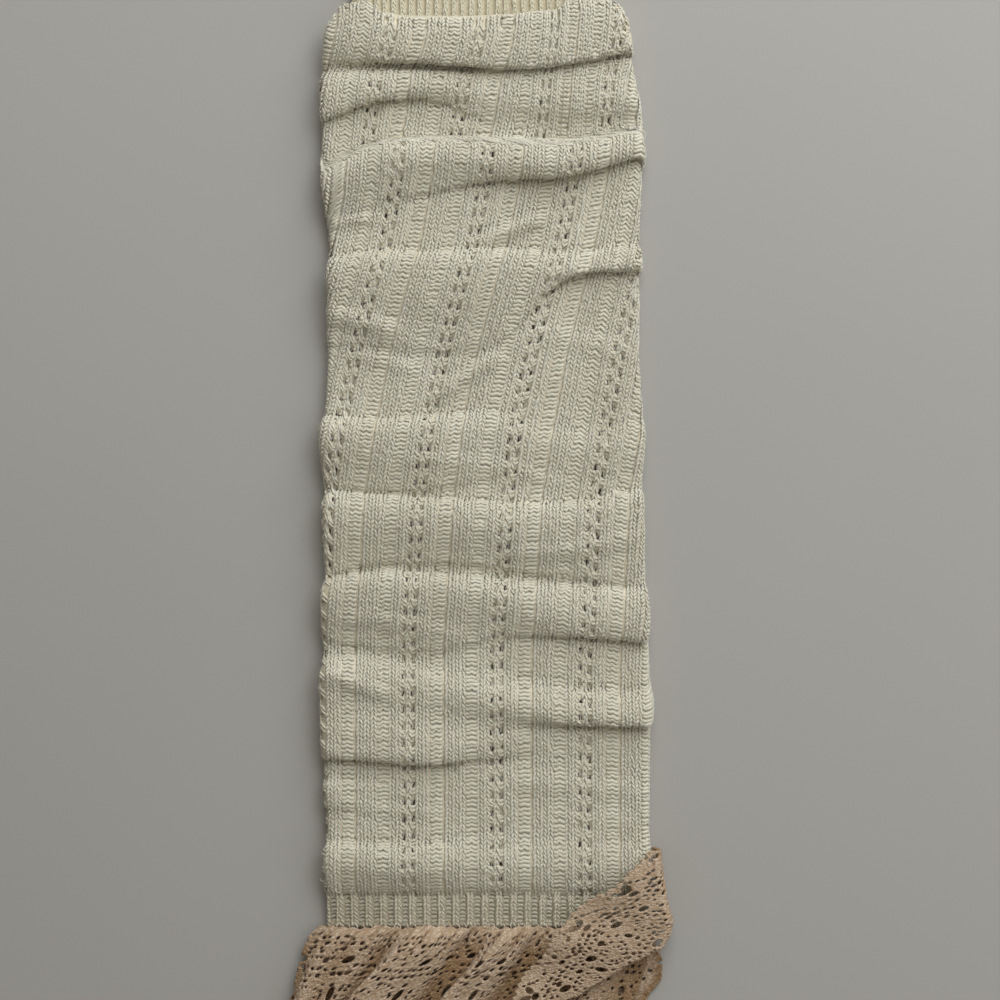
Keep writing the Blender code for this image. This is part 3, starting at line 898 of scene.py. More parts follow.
def wale_grid(lattice, kinds):
    """Place, row and spread of every stitch whose wale is one of kinds. Those in the middle of the
    openwork spread out between one eyelet and the next."""
    spots = [(p + REPEAT * r, kind) for r in range(REPEATS_ROUND) for p, kind in WALES if kind in kinds]
    rows = np.arange(0.4, lattice.rows - 0.6)
    place, row = np.meshgrid([p for p, _ in spots], rows, indexing="ij")
    swell = 0.5 - 0.5 * np.cos(2 * np.pi * (row - EYELET_MIDDLE) / EYELET_ROWS)
    centre = np.array([kind == "centre" for _, kind in spots])[:, None]
    spread = np.where(centre, CENTRE_SPREAD + BLOB_SPREAD * swell ** 2, STITCH_SPREAD)
    return place.ravel(), row.ravel(), spread.ravel()


def is_front(lattice, place, row):
    """Whether a stitch lies on the front or a side, by how far its normal points up."""
    return lattice.at(place, row)[1][..., 2] > UNDERSIDE


def purl_bumps(lattice, place, row, width, rng, reach=PURL_REACH, waves=1.0, stations=9, rise=PURL_RISE):
    """The bumps of a pair of purl wales: a yarn across both whose row follows waves cosines, each of its
    own strength, and whose ends sink by the fourth power of their distance from the middle."""
    t = np.linspace(-1, 1, stations)
    place = place[:, None] + t * reach + rng.normal(0, 0.07, (len(place), 1))
    wave = np.cos(t * np.pi * 2 * waves) * rng.uniform(0.5, 1.4, (len(row), 1))
    shift = rng.normal(0, PURL_SCATTER, (len(row), 1))
    tilt = rng.normal(0, PURL_SCATTER, (len(row), 1))
    row = row[:, None] + PURL_WAVE * wave + shift + tilt * t
    height = rise - 0.30 * np.abs(t) ** 4 + 0.06 * wave + rng.normal(0, 0.03, (len(row), 1))
    points, normals = lattice.at(place, row, height)
    half = width / 2 * rng.uniform(0.9, 1.1, (len(points), 1))
    return strands(points, normals, half * PURL_WIDTH, half * PURL_HEIGHT)


def eyelet_bars(lattice, row_start, rng, width):
    """The yarns that close the openwork columns between one eyelet and the next, slanting up and down."""
    spots = np.array([
        (REPEAT * r + side * EYELET_OFFSET, side) for r in range(REPEATS_ROUND) for side in (-1, 1)
    ])
    groups = np.arange(0, lattice.rows - EYELET_ROWS, EYELET_ROWS)
    table = np.array(EYELET_BAR)
    parts = []
    for offset in row_start:
        spot, group = np.meshgrid(np.arange(len(spots)), groups + offset, indexing="ij")
        place, side = spots[spot.ravel(), 0][:, None], spots[spot.ravel(), 1][:, None]
        row = group.ravel()[:, None] + rng.normal(0, 0.05, (group.size, 1))
        points, normals = lattice.at(
            place + side * table[:, 0] * 1.05, row + table[:, 1], table[:, 2] - 0.05 + 0 * row
        )
        keep = normals[:, 1, 2] > UNDERSIDE
        parts.append(strands(points[keep], normals[keep], width * 0.42, width * 0.24))
    return parts


def eyelet_threads(lattice, rng, width):
    """Two fine yarns slanting over each eyelet of the front, so that it is never a clean hole."""
    spots = np.array([REPEAT * r + side * EYELET_OFFSET for r in range(REPEATS_ROUND) for side in (-1, 1)])
    groups = np.arange(0, lattice.rows - EYELET_ROWS, EYELET_ROWS)
    spot, group = np.meshgrid(np.repeat(spots, 2), groups + EYELET_MIDDLE, indexing="ij")
    t = np.linspace(-1, 1, 5)
    slant = rng.uniform(-THREAD_SLANT, THREAD_SLANT, (spot.size, 1))
    place = spot.ravel()[:, None] + rng.normal(0, 0.3, (spot.size, 1)) + slant * t
    row = group.ravel()[:, None] + rng.normal(0, 0.12, (spot.size, 1)) + 1.0 * t
    points, normals = lattice.at(place, row, THREAD_HEIGHT - 0.3 * t ** 2 + 0 * slant)
    keep = normals[:, 2, 2] > UNDERSIDE
    return strands(points[keep], normals[keep], width * 0.14, width * 0.12)


def stray_fibres(lattice, rng):
    """Short fine fibres that stand off the knit of the front and sides at random, each a slight arch."""
    place = rng.uniform(0, len(lattice.points) * lattice.step, (FIBRES, 1))
    row = rng.uniform(0, lattice.rows, (FIBRES, 1))
    share = np.array((0.0, 0.5, 1.0))
    points, normals = lattice.at(
        place + rng.normal(0, FIBRE_REACH, (FIBRES, 1)) * share,
        row + rng.normal(0, FIBRE_REACH / ROW, (FIBRES, 1)) * share,
        0.15 + rng.uniform(0.3, FIBRE_HEIGHT, (FIBRES, 1)) * np.sqrt(share),
    )
    keep = normals[:, 1, 2] > UNDERSIDE
    return strands(points[keep], normals[keep], FIBRE_WIDTH / 2, FIBRE_WIDTH / 2)


def stray_loops(lattice, rng):
    """Small half rounds of yarn pulled out of the knit here and there, standing on both ends."""
    place = rng.uniform(0, len(lattice.points) * lattice.step, (LOOPS, 1))
    row = rng.uniform(2, lattice.rows - 2, (LOOPS, 1))
    reach = rng.uniform(0.6, 1.5, (LOOPS, 1))
    turn = rng.uniform(0, 2 * np.pi, (LOOPS, 1))
    t = np.linspace(0, np.pi, 8)
    points, normals = lattice.at(
        place + reach * np.cos(t) * np.cos(turn),
        row + reach * np.cos(t) * np.sin(turn) / ROW,
        0.1 + 1.2 * reach * np.sin(t),
    )
    keep = normals[:, 1, 2] > UNDERSIDE
    return strands(points[keep], normals[keep], LOOP_YARN / 2, LOOP_YARN / 2, sides=4)


def give_wall(shell):
    """Thickens a shell inwards."""
    wall = shell.modifiers.new("wall", "SOLIDIFY")
    wall.thickness = SHELL_WALL * MM
    wall.offset = -1


def leg_shell(lattice, material):
    """The thin knit ground under the stitches: a closed ring of cells, with the eyelets left open. The
    lines round an eyelet are each moved a little at random, so no two eyelets are the same. In a
    crease it lies lower by how far the lattice bends up beside it, so it stays under the stitches."""
    rng = np.random.default_rng(10)
    steps = np.array(SHELL_LINES)
    places = np.concatenate([steps + REPEAT * r for r in range(REPEATS_ROUND)])
    groups = np.arange(0, lattice.rows - EYELET_ROWS, EYELET_ROWS)[:, None]
    rows = np.concatenate([[0], (groups + np.array(SHELL_ROWS)).ravel(), [lattice.rows]])
    place, row = np.meshgrid(places, rows, indexing="ij")
    column = np.arange(len(places)) % len(steps)
    beside = np.isin(column, (1, 2, len(steps) - 2, len(steps) - 1))[:, None]
    inner = (np.arange(len(rows)) % (len(rows) - 1) > 0)[None, :]
    place = place + beside * inner * rng.normal(0, LINE_SCATTER, place.shape)
    row = row + beside * inner * rng.normal(0, SHELL_ROW_SCATTER, row.shape)
    points, normals = lattice.at(place, row, 0.0)
    around = (lattice.at(place, row - CREASE_ROWS)[0] + lattice.at(place, row + CREASE_ROWS)[0]) / 2
    hollow = np.maximum(np.sum((around - points) * normals, axis=-1, keepdims=True), 0)
    points = points - normals * hollow * CREASE_SINK
    quads = grid_quads(len(places), len(rows), closed_rows=True)
    open_column = np.isin(column, (1, len(steps) - 2))
    open_row = (np.arange(len(rows) - 1) - 1) % len(SHELL_ROWS) == 0
    upward = normals[:, :-1, 2] > EYELETS_UPWARD
    eyelet = open_column[:, None] & open_row[None, :] & upward
    quads = quads[~eyelet]
    made = make_piece("leg_shell", points, [quads.reshape(-1, 4)], material)
    give_wall(made)
    return made


# Materials

def new_material(name):
    made = bpy.data.materials.new(name)
    made.use_nodes = True
    tree = made.node_tree
    return made, tree, tree.nodes["Principled BSDF"]


def add_node(tree, kind, **inputs):
    node = tree.nodes.new(kind)
    for key, value in inputs.items():
        node.inputs[key.replace("_", " ")].default_value = value
    return node


def mottled(tree, coordinates, scale, low, high, colour_a, colour_b, detail=3.0):
    """Colour that wanders between two tones with a noise of the given scale."""
    noise = add_node(tree, "ShaderNodeTexNoise", Scale=scale, Detail=detail)
    tree.links.new(coordinates, noise.inputs["Vector"])
    ramp = tree.nodes.new("ShaderNodeValToRGB")
    ramp.color_ramp.elements[0].position = low
    ramp.color_ramp.elements[1].position = high
    ramp.color_ramp.elements[0].color = (*colour_a, 1)
    ramp.color_ramp.elements[1].color = (*colour_b, 1)
    tree.links.new(noise.outputs["Fac"], ramp.inputs["Fac"])
    return ramp.outputs["Color"]


def multiplied(tree, colour, by, share=1.0):
    """A colour times another one, mixed in by share."""
    mix = tree.nodes.new("ShaderNodeMixRGB")
    mix.blend_type = "MULTIPLY"
    mix.inputs["Fac"].default_value = share
    tree.links.new(colour, mix.inputs["Color1"])
    tree.links.new(by, mix.inputs["Color2"])
    return mix.outputs["Color"]


def shade(colour, factor, warm=0.0):
    return tuple(min(1.0, c * factor * w) for c, w in zip(colour, (1 + warm, 1, 1 - warm)))


def yarn_material(name, colour):
    """Soft, slightly shiny acrylic: mottled cream with darker flecks, fine fibres as bump and a light
    sheen."""
    made, tree, shader = new_material(name)
    coordinates = tree.nodes.new("ShaderNodeTexCoord").outputs["Object"]
    tint = mottled(tree, coordinates, 55.0, 0.35, 0.7, shade(colour, 0.93, 0.02), shade(colour, 1.04))
    flecks = mottled(tree, coordinates, 600.0, 0.38, 0.62, (0.95, 0.945, 0.93), (1.0, 1.0, 1.0), detail=1.0)
    tree.links.new(multiplied(tree, tint, flecks), shader.inputs["Base Color"])
    fibres = add_node(tree, "ShaderNodeTexNoise", Scale=2600.0, Detail=2.0)
    tree.links.new(coordinates, fibres.inputs["Vector"])
    bump = add_node(tree, "ShaderNodeBump", Strength=0.1, Distance=0.0002)
    tree.links.new(fibres.outputs["Fac"], bump.inputs["Height"])
    tree.links.new(bump.outputs["Normal"], shader.inputs["Normal"])
    shader.inputs["Roughness"].default_value = 0.5
    shader.inputs["Specular IOR Level"].default_value = 0.5
    shader.inputs["Sheen Weight"].default_value = 0.35
    shader.inputs["Sheen Roughness"].default_value = 0.5
    shader.inputs["Subsurface Weight"].default_value = 0.5
    shader.inputs["Subsurface Radius"].default_value = (1.0, 1.0, 1.0)
    shader.inputs["Subsurface Scale"].default_value = 0.8 * MM
    return made


def lace_material(name, colour):
    """Matte cotton: crossed threads that show as grains, with painted shade that darkens the colour between
    them and leaves it pale on top, over a slow mottling of the beige. Deep in the gathers, by the
    attribute hollow, painted shade makes the beige browner."""
    made, tree, shader = new_material(name)
    coordinates = tree.nodes.new("ShaderNodeTexCoord").outputs["Object"]
    tint = mottled(tree, coordinates, 90.0, 0.3, 0.75, shade(colour, 0.92, 0.03), shade(colour, 1.08))
    uv = tree.nodes.new("ShaderNodeUVMap")
    uv.uv_map = "UVMap"
    # The grains' distance gives their bump and, through the ramp, painted shade between the grains
    threads = add_node(tree, "ShaderNodeTexVoronoi", Scale=LACE_GRAIN, Randomness=0.85)
    tree.links.new(uv.outputs["UV"], threads.inputs["Vector"])
    ramp = tree.nodes.new("ShaderNodeValToRGB")
    ramp.color_ramp.elements[0].position = 0.15
    ramp.color_ramp.elements[1].position = 0.62
    ramp.color_ramp.elements[0].color = (1, 1, 1, 1)
    ramp.color_ramp.elements[1].color = (0.56, 0.46, 0.36, 1)
    tree.links.new(threads.outputs["Distance"], ramp.inputs["Fac"])
    grain_painted_shade = multiplied(tree, tint, ramp.outputs["Color"], 0.85)
    # Painted shade: the colour is multiplied towards the browner tone by the lace's mask hollow
    hollow = tree.nodes.new("ShaderNodeAttribute")
    hollow.attribute_name = "hollow"
    deep = tree.nodes.new("ShaderNodeMixRGB")
    deep.blend_type = "MULTIPLY"
    deep.inputs["Color2"].default_value = (*LACE_PAINTED_SHADE, 1)
    tree.links.new(hollow.outputs["Fac"], deep.inputs["Fac"])
    tree.links.new(grain_painted_shade, deep.inputs["Color1"])
    tree.links.new(deep.outputs["Color"], shader.inputs["Base Color"])
    bump = add_node(tree, "ShaderNodeBump", Strength=0.7, Distance=0.0005)
    bump.invert = True
    tree.links.new(threads.outputs["Distance"], bump.inputs["Height"])
    tree.links.new(bump.outputs["Normal"], shader.inputs["Normal"])
    shader.inputs["Roughness"].default_value = 0.85
    shader.inputs["Specular IOR Level"].default_value = 0.25
    shader.inputs["Sheen Weight"].default_value = 0.15
    return made


# Lace

def ring_of_holes(x, y, reach_x, reach_y, count, first, step, half_length, half_width, radial=False):
    """Holes evenly spaced on an oval, each lying along it, or pointing at its middle where radial."""
    angle = np.radians(first + step * np.arange(count))
    turn = angle if radial else angle + np.pi / 2
    return [
        (x + reach_x * np.cos(a), y + reach_y * np.sin(a), half_length, half_width, t)
        for a, t in zip(angle, turn)
    ]


def row_of_holes(x, y, count, half_length, half_width, turn):
    """Holes evenly spaced along one repeat, turned one way and the other by turns."""
    step = LACE_REPEAT / count
    return [
        (x + step * k, y + 0.35 * (k % 2), half_length, half_width, turn if k % 2 else -turn)
        for k in range(count)
    ]


def hole_table():
    """Holes of one lace repeat: place along, distance in from the free edge, half length, half width, turn.

    A dense fan stands at the edge in an arc of small holes, with two large eyes between it and the
    next. A net, round eyes, a dense medallion in rings of small holes, a second net and a row of slits
    at the seam follow."""
    holes = ring_of_holes(9, 0.8, 5.6, 5.6, 9, 10, 20, 0.62, 0.45)
    holes += [(1.8, 4.6, 2.0, 1.05, -0.95), (16.2, 4.6, 2.0, 1.05, 0.95), (0, 8.4, 1.25, 0.95, 0)]
    holes += row_of_holes(1.1, 9.4, 8, 0.8, 0.5, 0.5)[1:7]
    holes += row_of_holes(0, 11.6, 8, 0.8, 0.55, 0.4)
    holes += row_of_holes(1.1, 13.8, 8, 0.7, 0.5, 0.7)
    holes += [(4.3, 17.0, 1.45, 1.25, 0), (13.7, 17.0, 1.45, 1.25, 0)]
    holes += [(0, 16.4, 0.8, 0.55, 0.4), (9, 16.0, 0.8, 0.55, 0.4), (1.0, 18.6, 0.7, 0.5, 1.0)]
    holes += ring_of_holes(9, 23.6, 3.4, 3.2, 11, 0, 360 / 11, 0.6, 0.3, radial=True)
    holes += ring_of_holes(9, 23.6, 5.6, 5.0, 16, 11, 22.5, 0.6, 0.42)
    holes += [(0, 23.4, 2.1, 1.15, np.pi / 2), (17.2, 27.2, 0.8, 0.6, 0.5), (0.8, 20.4, 0.7, 0.5, 0.2)]
    holes += row_of_holes(0, 30.4, 7, 0.85, 0.55, 0.5)
    holes += row_of_holes(1.3, 32.7, 7, 0.75, 0.5, 0.5)
    holes += [(0, 35.8, 1.5, 0.95, 0.2), (9, 35.5, 1.1, 0.9, 0)]
    holes += ring_of_holes(4.6, 38.2, 2.5, 2.0, 8, 20, 45, 0.6, 0.42, radial=True)
    holes += ring_of_holes(13.4, 38.2, 2.5, 2.0, 8, 0, 45, 0.6, 0.42, radial=True)
    holes += row_of_holes(0.6, 41.7, 8, 0.62, 0.45, 0.6)
    holes += row_of_holes(1.4, 43.9, 9, 0.5, 0.42, 1.0)
    return holes


def lace_distance(across_lace, depth, seed):
    """Distance in the lace from the nearest hole or from the picot edge, positive inside the thread.

    Slow waves push the pattern about, and each hole of each repeat is moved and sized a little at
    random. The distance from an oval is its own equation's value over that value's slope."""
    slow = 0.4 * np.sin(across_lace / 5.3 + depth / 3.1) + 0.3 * np.sin(depth / 2.3 - across_lace / 11.7)
    warped = across_lace + slow
    inward = FRILL_DEPTH - depth
    picots = PICOT_HEIGHT * np.abs(np.sin(np.pi * across_lace / PICOT))
    found = inward + picots + SCALLOP * np.sin(np.pi * across_lace / LACE_REPEAT) ** 2 - EDGE_ROOM
    repeat = np.floor(warped / LACE_REPEAT).astype(int)
    around = warped - repeat * LACE_REPEAT
    inward = inward + 0.35 * np.sin(across_lace / 6.1) + 0.25 * np.sin(across_lace / 2.7 + depth / 4.4)
    holes = hole_table()
    varied = np.random.default_rng(seed).normal(0, 1, (int(repeat.max()) + 3, len(holes), 3))
    for k, (a, e, half_length, half_width, turn) in enumerate(holes):
        for wrap in (-1, 0, 1):
            own = varied[repeat + wrap + 1, k]
            size = np.clip(1 + HOLE_SIZE * own[..., 2], 0.6, 1.4)
            x = around - a - wrap * LACE_REPEAT + HOLE_SHIFT * own[..., 0]
            y = inward - e + HOLE_SHIFT * own[..., 1]
            u = (x * np.cos(turn) + y * np.sin(turn)) / (half_length * size)
            v = (y * np.cos(turn) - x * np.sin(turn)) / (half_width * size)
            rho = np.sqrt(u ** 2 + v ** 2) + 1e-6
            slope = np.sqrt((u / (half_length * size)) ** 2 + (v / (half_width * size)) ** 2) + 1e-6
            found = np.minimum(found, (rho - 1) * rho / slope)
    return found


def lace_piece(name, surface, length, depth_from, depth_to, material, cell, seed, limit=None):
    """A lace sheet as long as it lies, gathered or not. A square grid over it is pulled onto the rims of
    its holes and of its edges, cells in the holes are dropped, and surface bends what is left into its
    place. The wall is round like a cord: its half thickness is a quarter of a circle from a rim inwards,
    and each rim has a cord of its own, a bell curve half a thread in from it."""
    a_count, b_count = int(length / cell) + 1, int((depth_to - depth_from) / cell) + 1
    along, depth = np.meshgrid(
        np.linspace(0, length, a_count), np.linspace(depth_from, depth_to, b_count), indexing="ij"
    )
    d = lace_distance(along, depth, seed)
    if limit:
        d = np.minimum(d, limit(along / length, depth))
    slope_a, slope_b = np.gradient(d, length / (a_count - 1), (depth_to - depth_from) / (b_count - 1))
    on_rim = np.abs(d) < PULL_REACH * cell
    pull = np.where(on_rim, d / (slope_a ** 2 + slope_b ** 2 + 0.05), 0)
    along = np.clip(along - np.clip(pull * slope_a, -0.5 * cell, 0.5 * cell), 0, length)
    depth = depth - np.clip(pull * slope_b, -0.5 * cell, 0.5 * cell)
    d = np.where(on_rim, 0.0, d)
    inside = d >= 0
    kept = inside[:-1, :-1] & inside[1:, :-1] & inside[1:, 1:] & inside[:-1, 1:]
    points, hollow = surface(along / length, depth)
    normal = unit(np.cross(np.gradient(points, axis=0), np.gradient(points, axis=1)))
    upright = 1 if np.median(normal[..., 2]) > 0 else -1
    curve = 1 - np.clip(d / RIM_ROUND, 0, 1)
    half = LACE_HALF_WALL * (LACE_EDGE_WALL + (1 - LACE_EDGE_WALL) * np.sqrt(1 - curve ** 2))
    half = half + RIM_CORD * np.exp(-((d - RIM_CORD_IN) / RIM_CORD_WIDTH) ** 2)
    top, bottom = points + normal * half[..., None] * upright, points - normal * half[..., None] * upright
    quads = grid_quads(a_count, b_count)
    shift = a_count * b_count
    faces = [quads[kept], quads[kept][:, ::-1] + shift]
    padded = np.pad(kept, 1)
    beyond = (padded[1:-1, :-2], padded[2:, 1:-1], padded[1:-1, 2:], padded[:-2, 1:-1])
    for corner in range(4):
        rim = kept & ~beyond[corner]
        a, b = quads[rim][:, corner], quads[rim][:, (corner + 1) % 4]
        faces.append(np.stack([b, a, a + shift, b + shift], axis=1))
    faces = [f[:, ::upright] for f in faces]
    everything = np.concatenate([top.reshape(-1, 3), bottom.reshape(-1, 3)])
    uv = np.stack([along, depth], axis=-1).reshape(-1, 2)
    uv = np.concatenate([uv, uv])
    hollow = np.concatenate([hollow.ravel(), hollow.ravel()])
    used = np.unique(np.concatenate([f.ravel() for f in faces]))
    number = np.zeros(len(everything), int)
    number[used] = np.arange(len(used))
    faces = [number[f] for f in faces]
    # hollow masks the painted shade in the lace's colour
    attributes = {"UVMap": uv[used], "hollow": hollow[used]}
    return make_piece(name, everything[used], faces, material, attributes)


def frill_surface(edges, ruffles, pleats, low, rise, lean, sewn):
    """The surface of one side of the frill: ruffles start soon below the seam, grow to the free edge and
    tip to the left by lean times their lift. Pleats are narrow troughs, a bell curve across and fading
    down their length. At the seam the lace climbs to the height at which it is sewn to the rib. The
    second result is how hollow the lace lies: 1 between ruffles and in pleats, 0 on a ruffle; it masks
    the painted shade that browns the lace's colour there. The lace's own length is spread evenly along
    the ruffles at EVEN_DEPTH, so its holes aren't stretched."""
    def shape(u, depth):
        below = np.clip(depth, 0, FRILL_DEPTH)
        left, right = read_table(edges, below), read_table(edges, below, 2)
        side = np.clip(np.minimum(u, 1 - u) / SIDE_SHARE, 0, 1)
        fullness = SEAM_FULLNESS * (1 - np.exp(-below / SEAM_RISE))
        fullness = fullness + (1 - SEAM_FULLNESS) * (below / FRILL_DEPTH) ** FULLNESS_POWER
        gathers = np.sin(u * 2 * np.pi * GATHERS + 2 * np.sin(u * 23.0)) * np.exp(-below / GATHER_DEPTH)
        lift = rise * (fullness * soft_table(ruffles, u) * side + GATHER * (1 + gathers) / 2 * side)
        base = low if low == BACK_LOW else FRILL_SIDE_LOW + (low - FRILL_SIDE_LOW) * side
        seam = soft_step(1 - below / SEWN_DEPTH)
        hollow = (1 - soft_step(soft_table(ruffles, u) / PAINTED_SHADE_SHARE)) * soft_step(below / PAINTED_SHADE_DEPTH)
        for place, length, trough, half_width in pleats:
            off = (u - place) * (right - left) / half_width
            dip = np.exp(-off ** 2) * soft_step((length - below) / length) * (1 - seam)
            lift = lift - PLEAT_DEPTH * trough * dip
            hollow = np.maximum(hollow, dip)
        lift = np.maximum(lift, BACK_LOW - base)
        leaning = lean * lift * soft_step(below / LEAN_DEPTH)
        x = left + (right - left) * u - FRILL_SWAY * below * np.sin(np.pi * u) - leaning
        wave = (0.45 * np.sin(u * 41.0) + 0.3 * np.sin(u * 190.0)) * np.exp(-below / 3.0)
        points = np.stack([x, -SEAM_GAP - depth + wave, base + lift + (sewn - base) * seam * side], axis=-1)
        return points, hollow

    places = np.linspace(0, 1, 500)
    steps = np.linalg.norm(np.diff(shape(places, np.full(500, EVEN_DEPTH))[0], axis=0), axis=1)
    run = np.concatenate([[0], np.cumsum(steps)]) / steps.sum()

    def surface(share, depth):
        return shape(np.interp(share, run, places), depth)

    return surface


def bend_run(u, depth):
    """Distance of a point of the turned-up lace from the start of its bend, with the sections it reads:
    the free edge and the bend in plan, and the heights of the lower and upper layer."""
    sections = np.array(TURNED_SECTIONS)
    middles = (sections[:, :2] + sections[:, 2:4]) / 2
    run_along = np.concatenate([[0], np.cumsum(np.linalg.norm(np.diff(middles, axis=0), axis=1))])
    free_x, free_y, bend_x, bend_y, low, high = (
        np.interp(u, run_along / run_along[-1], c) for c in sections.T
    )
    length = np.hypot(free_x - bend_x, free_y - bend_y)
    radius = np.minimum(TURNED_BEND, (high - low) / 2)
    run = length - radius + np.pi * radius - (FRILL_DEPTH - depth)
    return run, free_x, free_y, bend_x, bend_y, low, high, length, radius


def turned_surface(u, depth):
    """The turned-up corner: half round its bend, then straight over the front to the free edge, with
    three low waves that grow towards that edge. The second result is how deep it lies, from 0 to 1;
    it masks the painted shade that browns the lower layer."""
    run, free_x, free_y, bend_x, bend_y, low, high, length, radius = bend_run(u, depth)
    turn = np.clip(run / radius, 0, np.pi) - np.pi / 2
    over = np.maximum(run - np.pi * radius, 0)
    reach = (radius * (1 - np.cos(turn)) + over) / length
    wave = TURNED_WAVE * (0.5 - 0.5 * np.cos(2 * np.pi * TURNED_WAVES * u))
    lifted = wave * np.sin(np.clip(over / np.maximum(length - radius, 1), 0, 1) * np.pi / 2)
    z = (high + low) / 2 + (high - low) / 2 * np.sin(turn) + lifted
    points = np.stack([bend_x + (free_x - bend_x) * reach, bend_y + (free_y - bend_y) * reach, z], axis=-1)
    return points, 1 - soft_step((z - PAINTED_SHADE_FROM) / (PAINTED_SHADE_TO - PAINTED_SHADE_FROM))


def seam_stitches(rng):
    """Slanted whip stitches over the seam, on the front and, 3 to 4 mm lower, on the back. Each is a
    short arch that dives into the rib at one end and into the lace at the other."""
    along = np.arange(HEM_LEFT + 4, HEM_RIGHT - 3, THREAD_PITCH)
    along = along + rng.normal(0, 0.3, len(along))
    t = np.linspace(-1, 1, 6)
    parts = []
    for height, facing in ((HEM_THICKNESS - HEM_DROP, 1), (0.0, -1)):
        x = along[:, None] + 0.45 * t + rng.normal(0, 0.08, (len(along), 1))
        y = -SEAM_GAP - THREAD_REACH * t + rng.normal(0, 0.2, (len(along), 1))
        z = height + facing * 0.25 - facing * 0.7 * t ** 2 + 0.25 * (facing < 0) + 0 * x
        paths = np.stack([x, y, z], axis=-1)
        normals = np.broadcast_to(np.array((0.0, 0.0, facing)), paths.shape)
        parts.append(strands(paths, normals, THREAD_WIDTH / 2, THREAD_WIDTH / 2, sides=4))
    return join(parts)


# Operators

def finish_of(context):
    return context.scene.leg_warmer_finish


class KNIT_OT_leg(bpy.types.Operator):
    """Knits the leg: its shell, knit stitches, purl bumps, openwork columns, fuzz and pulled loops"""

    bl_idname = "leg_warmer.leg"
    bl_label = "Knit the leg"

    def execute(self, context):
        finish = finish_of(context)
        rng = np.random.default_rng(11)
        lattice = leg_lattice()
        yarn = yarn_material("acrylic_yarn", finish.yarn)
        # The ground's colour is the yarn's with painted shade, for the gaps between stitches and the
        # eyelets
        ground = yarn_material("knit_ground", shade(finish.yarn, GROUND_PAINTED_SHADE, GROUND_PAINTED_WARMTH))
        width = finish.yarn_width / MM
        shell = leg_shell(lattice, ground)
        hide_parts("knit_leg")
        place, row, spread = wale_grid(lattice, ("knit", "centre"))
        front = is_front(lattice, place, row)
        legs = stitch_legs(lattice, place[front], row[front], spread[front], width, rng, LEG_PATH)
        make_piece("leg_knit_stitches", legs[0], legs[1], yarn)
        behind = [stitch_legs(lattice, place[~front], row[~front], spread[~front], width, rng, PLAIN_PATH)]
        pairs = [p for p, kind in WALES if kind == "purl"]
        spots = [(a + b) / 2 + REPEAT * r for r in range(REPEATS_ROUND) for a, b in (pairs[:2], pairs[2:])]
        place, row = np.meshgrid(spots, np.arange(0.5, lattice.rows - 0.5), indexing="ij")
        place, row = place.ravel(), row.ravel()
        front = is_front(lattice, place, row)
        bumps = purl_bumps(lattice, place[front], row[front], width, rng)
        behind.append(purl_bumps(lattice, place[~front], row[~front], width, rng, stations=6))
        joined = join(behind)
        make_piece("leg_back_stitches", joined[0], joined[1], yarn)
        bars = eyelet_bars(lattice, (-0.9, 0.0), rng, width)
        threads = eyelet_threads(lattice, rng, width)
        joined = join([bumps, threads] + bars)
        make_piece("leg_purl_bumps", joined[0], joined[1], yarn)
        fuzz = join([stray_fibres(lattice, rng), stray_loops(lattice, rng)])
        make_piece("leg_fuzz", fuzz[0], fuzz[1], yarn)
        return {"FINISHED"}


class KNIT_OT_bands(bpy.types.Operator):
    """Knits the ribbed hem and the ribbed top cuff"""

    bl_idname = "leg_warmer.bands"
    bl_label = "Knit the ribbed bands"

    def execute(self, context):
        finish = finish_of(context)
        rng = np.random.default_rng(12)
        bands = (
            # The hem's yarn colour carries painted shade, darker and warmer
            ("hem", "hem_rib", 0.0, HEM_END, HEM_LEFT, HEM_RIGHT, HEM_THICKNESS, HEM_PITCH, HEM_RIBS,
             HEM_GROOVE, HEM_DROP, HEM_OVERLAP_ROWS, shade(finish.yarn, HEM_PAINTED_SHADE, HEM_PAINTED_WARMTH),
             HEM_PURL_RISE, "knit"),
            ("cuff", "top_cuff", CUFF_START, CUFF_END, CUFF_LEFT, CUFF_RIGHT, CUFF_THICKNESS, CUFF_PITCH,
             CUFF_RIBS, CUFF_GROOVE, 0.0, 0, finish.cuff, CUFF_PURL_RISE, "cuff_rib"),
        )
        for (name, node, start, end, left, right, thickness, pitch, pairs, groove, drop, overlap,
             colour, rise, slot) in bands:
            lattice = band_lattice(start, end, left, right, thickness, pitch, pairs, groove, drop, overlap)
            yarn = yarn_material(name + "_yarn", colour)
            # The band's ground is painted darker and warmer, painted shade between its ribs and purl bumps
            ground = yarn_material(name + "_ground", shade(colour, RIB_GROUND_PAINTED_SHADE, GROUND_PAINTED_WARMTH))
            ring = lattice.points[:, :lattice.rows + 1 - overlap]
            quads = grid_quads(*ring.shape[:2], closed_rows=True).reshape(-1, 4)
            shell = make_piece(name + "_shell", ring, [quads], ground)
            give_wall(shell)
            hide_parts(node)
            place, row = np.meshgrid(
                np.arange(pairs) * pitch, np.arange(0.7, lattice.rows - 0.4), indexing="ij")
            place, row = place.ravel(), row.ravel()
            spread = pitch * 0.21
            width = finish.yarn_width / MM * min(1.0, pitch / 4.6)
            legs = stitch_legs(lattice, place, row, spread, width, rng, LEG_PATH, RIB_FLATNESS)
            bumps = purl_bumps(
                lattice, place + pitch / 2, row, width * 0.8, rng, reach=pitch * 0.27, waves=0.5,
                stations=5, rise=rise)
            joined = join([legs, bumps])
            stitches = make_piece(name + "_stitches", joined[0], joined[1], yarn)
        return {"FINISHED"}


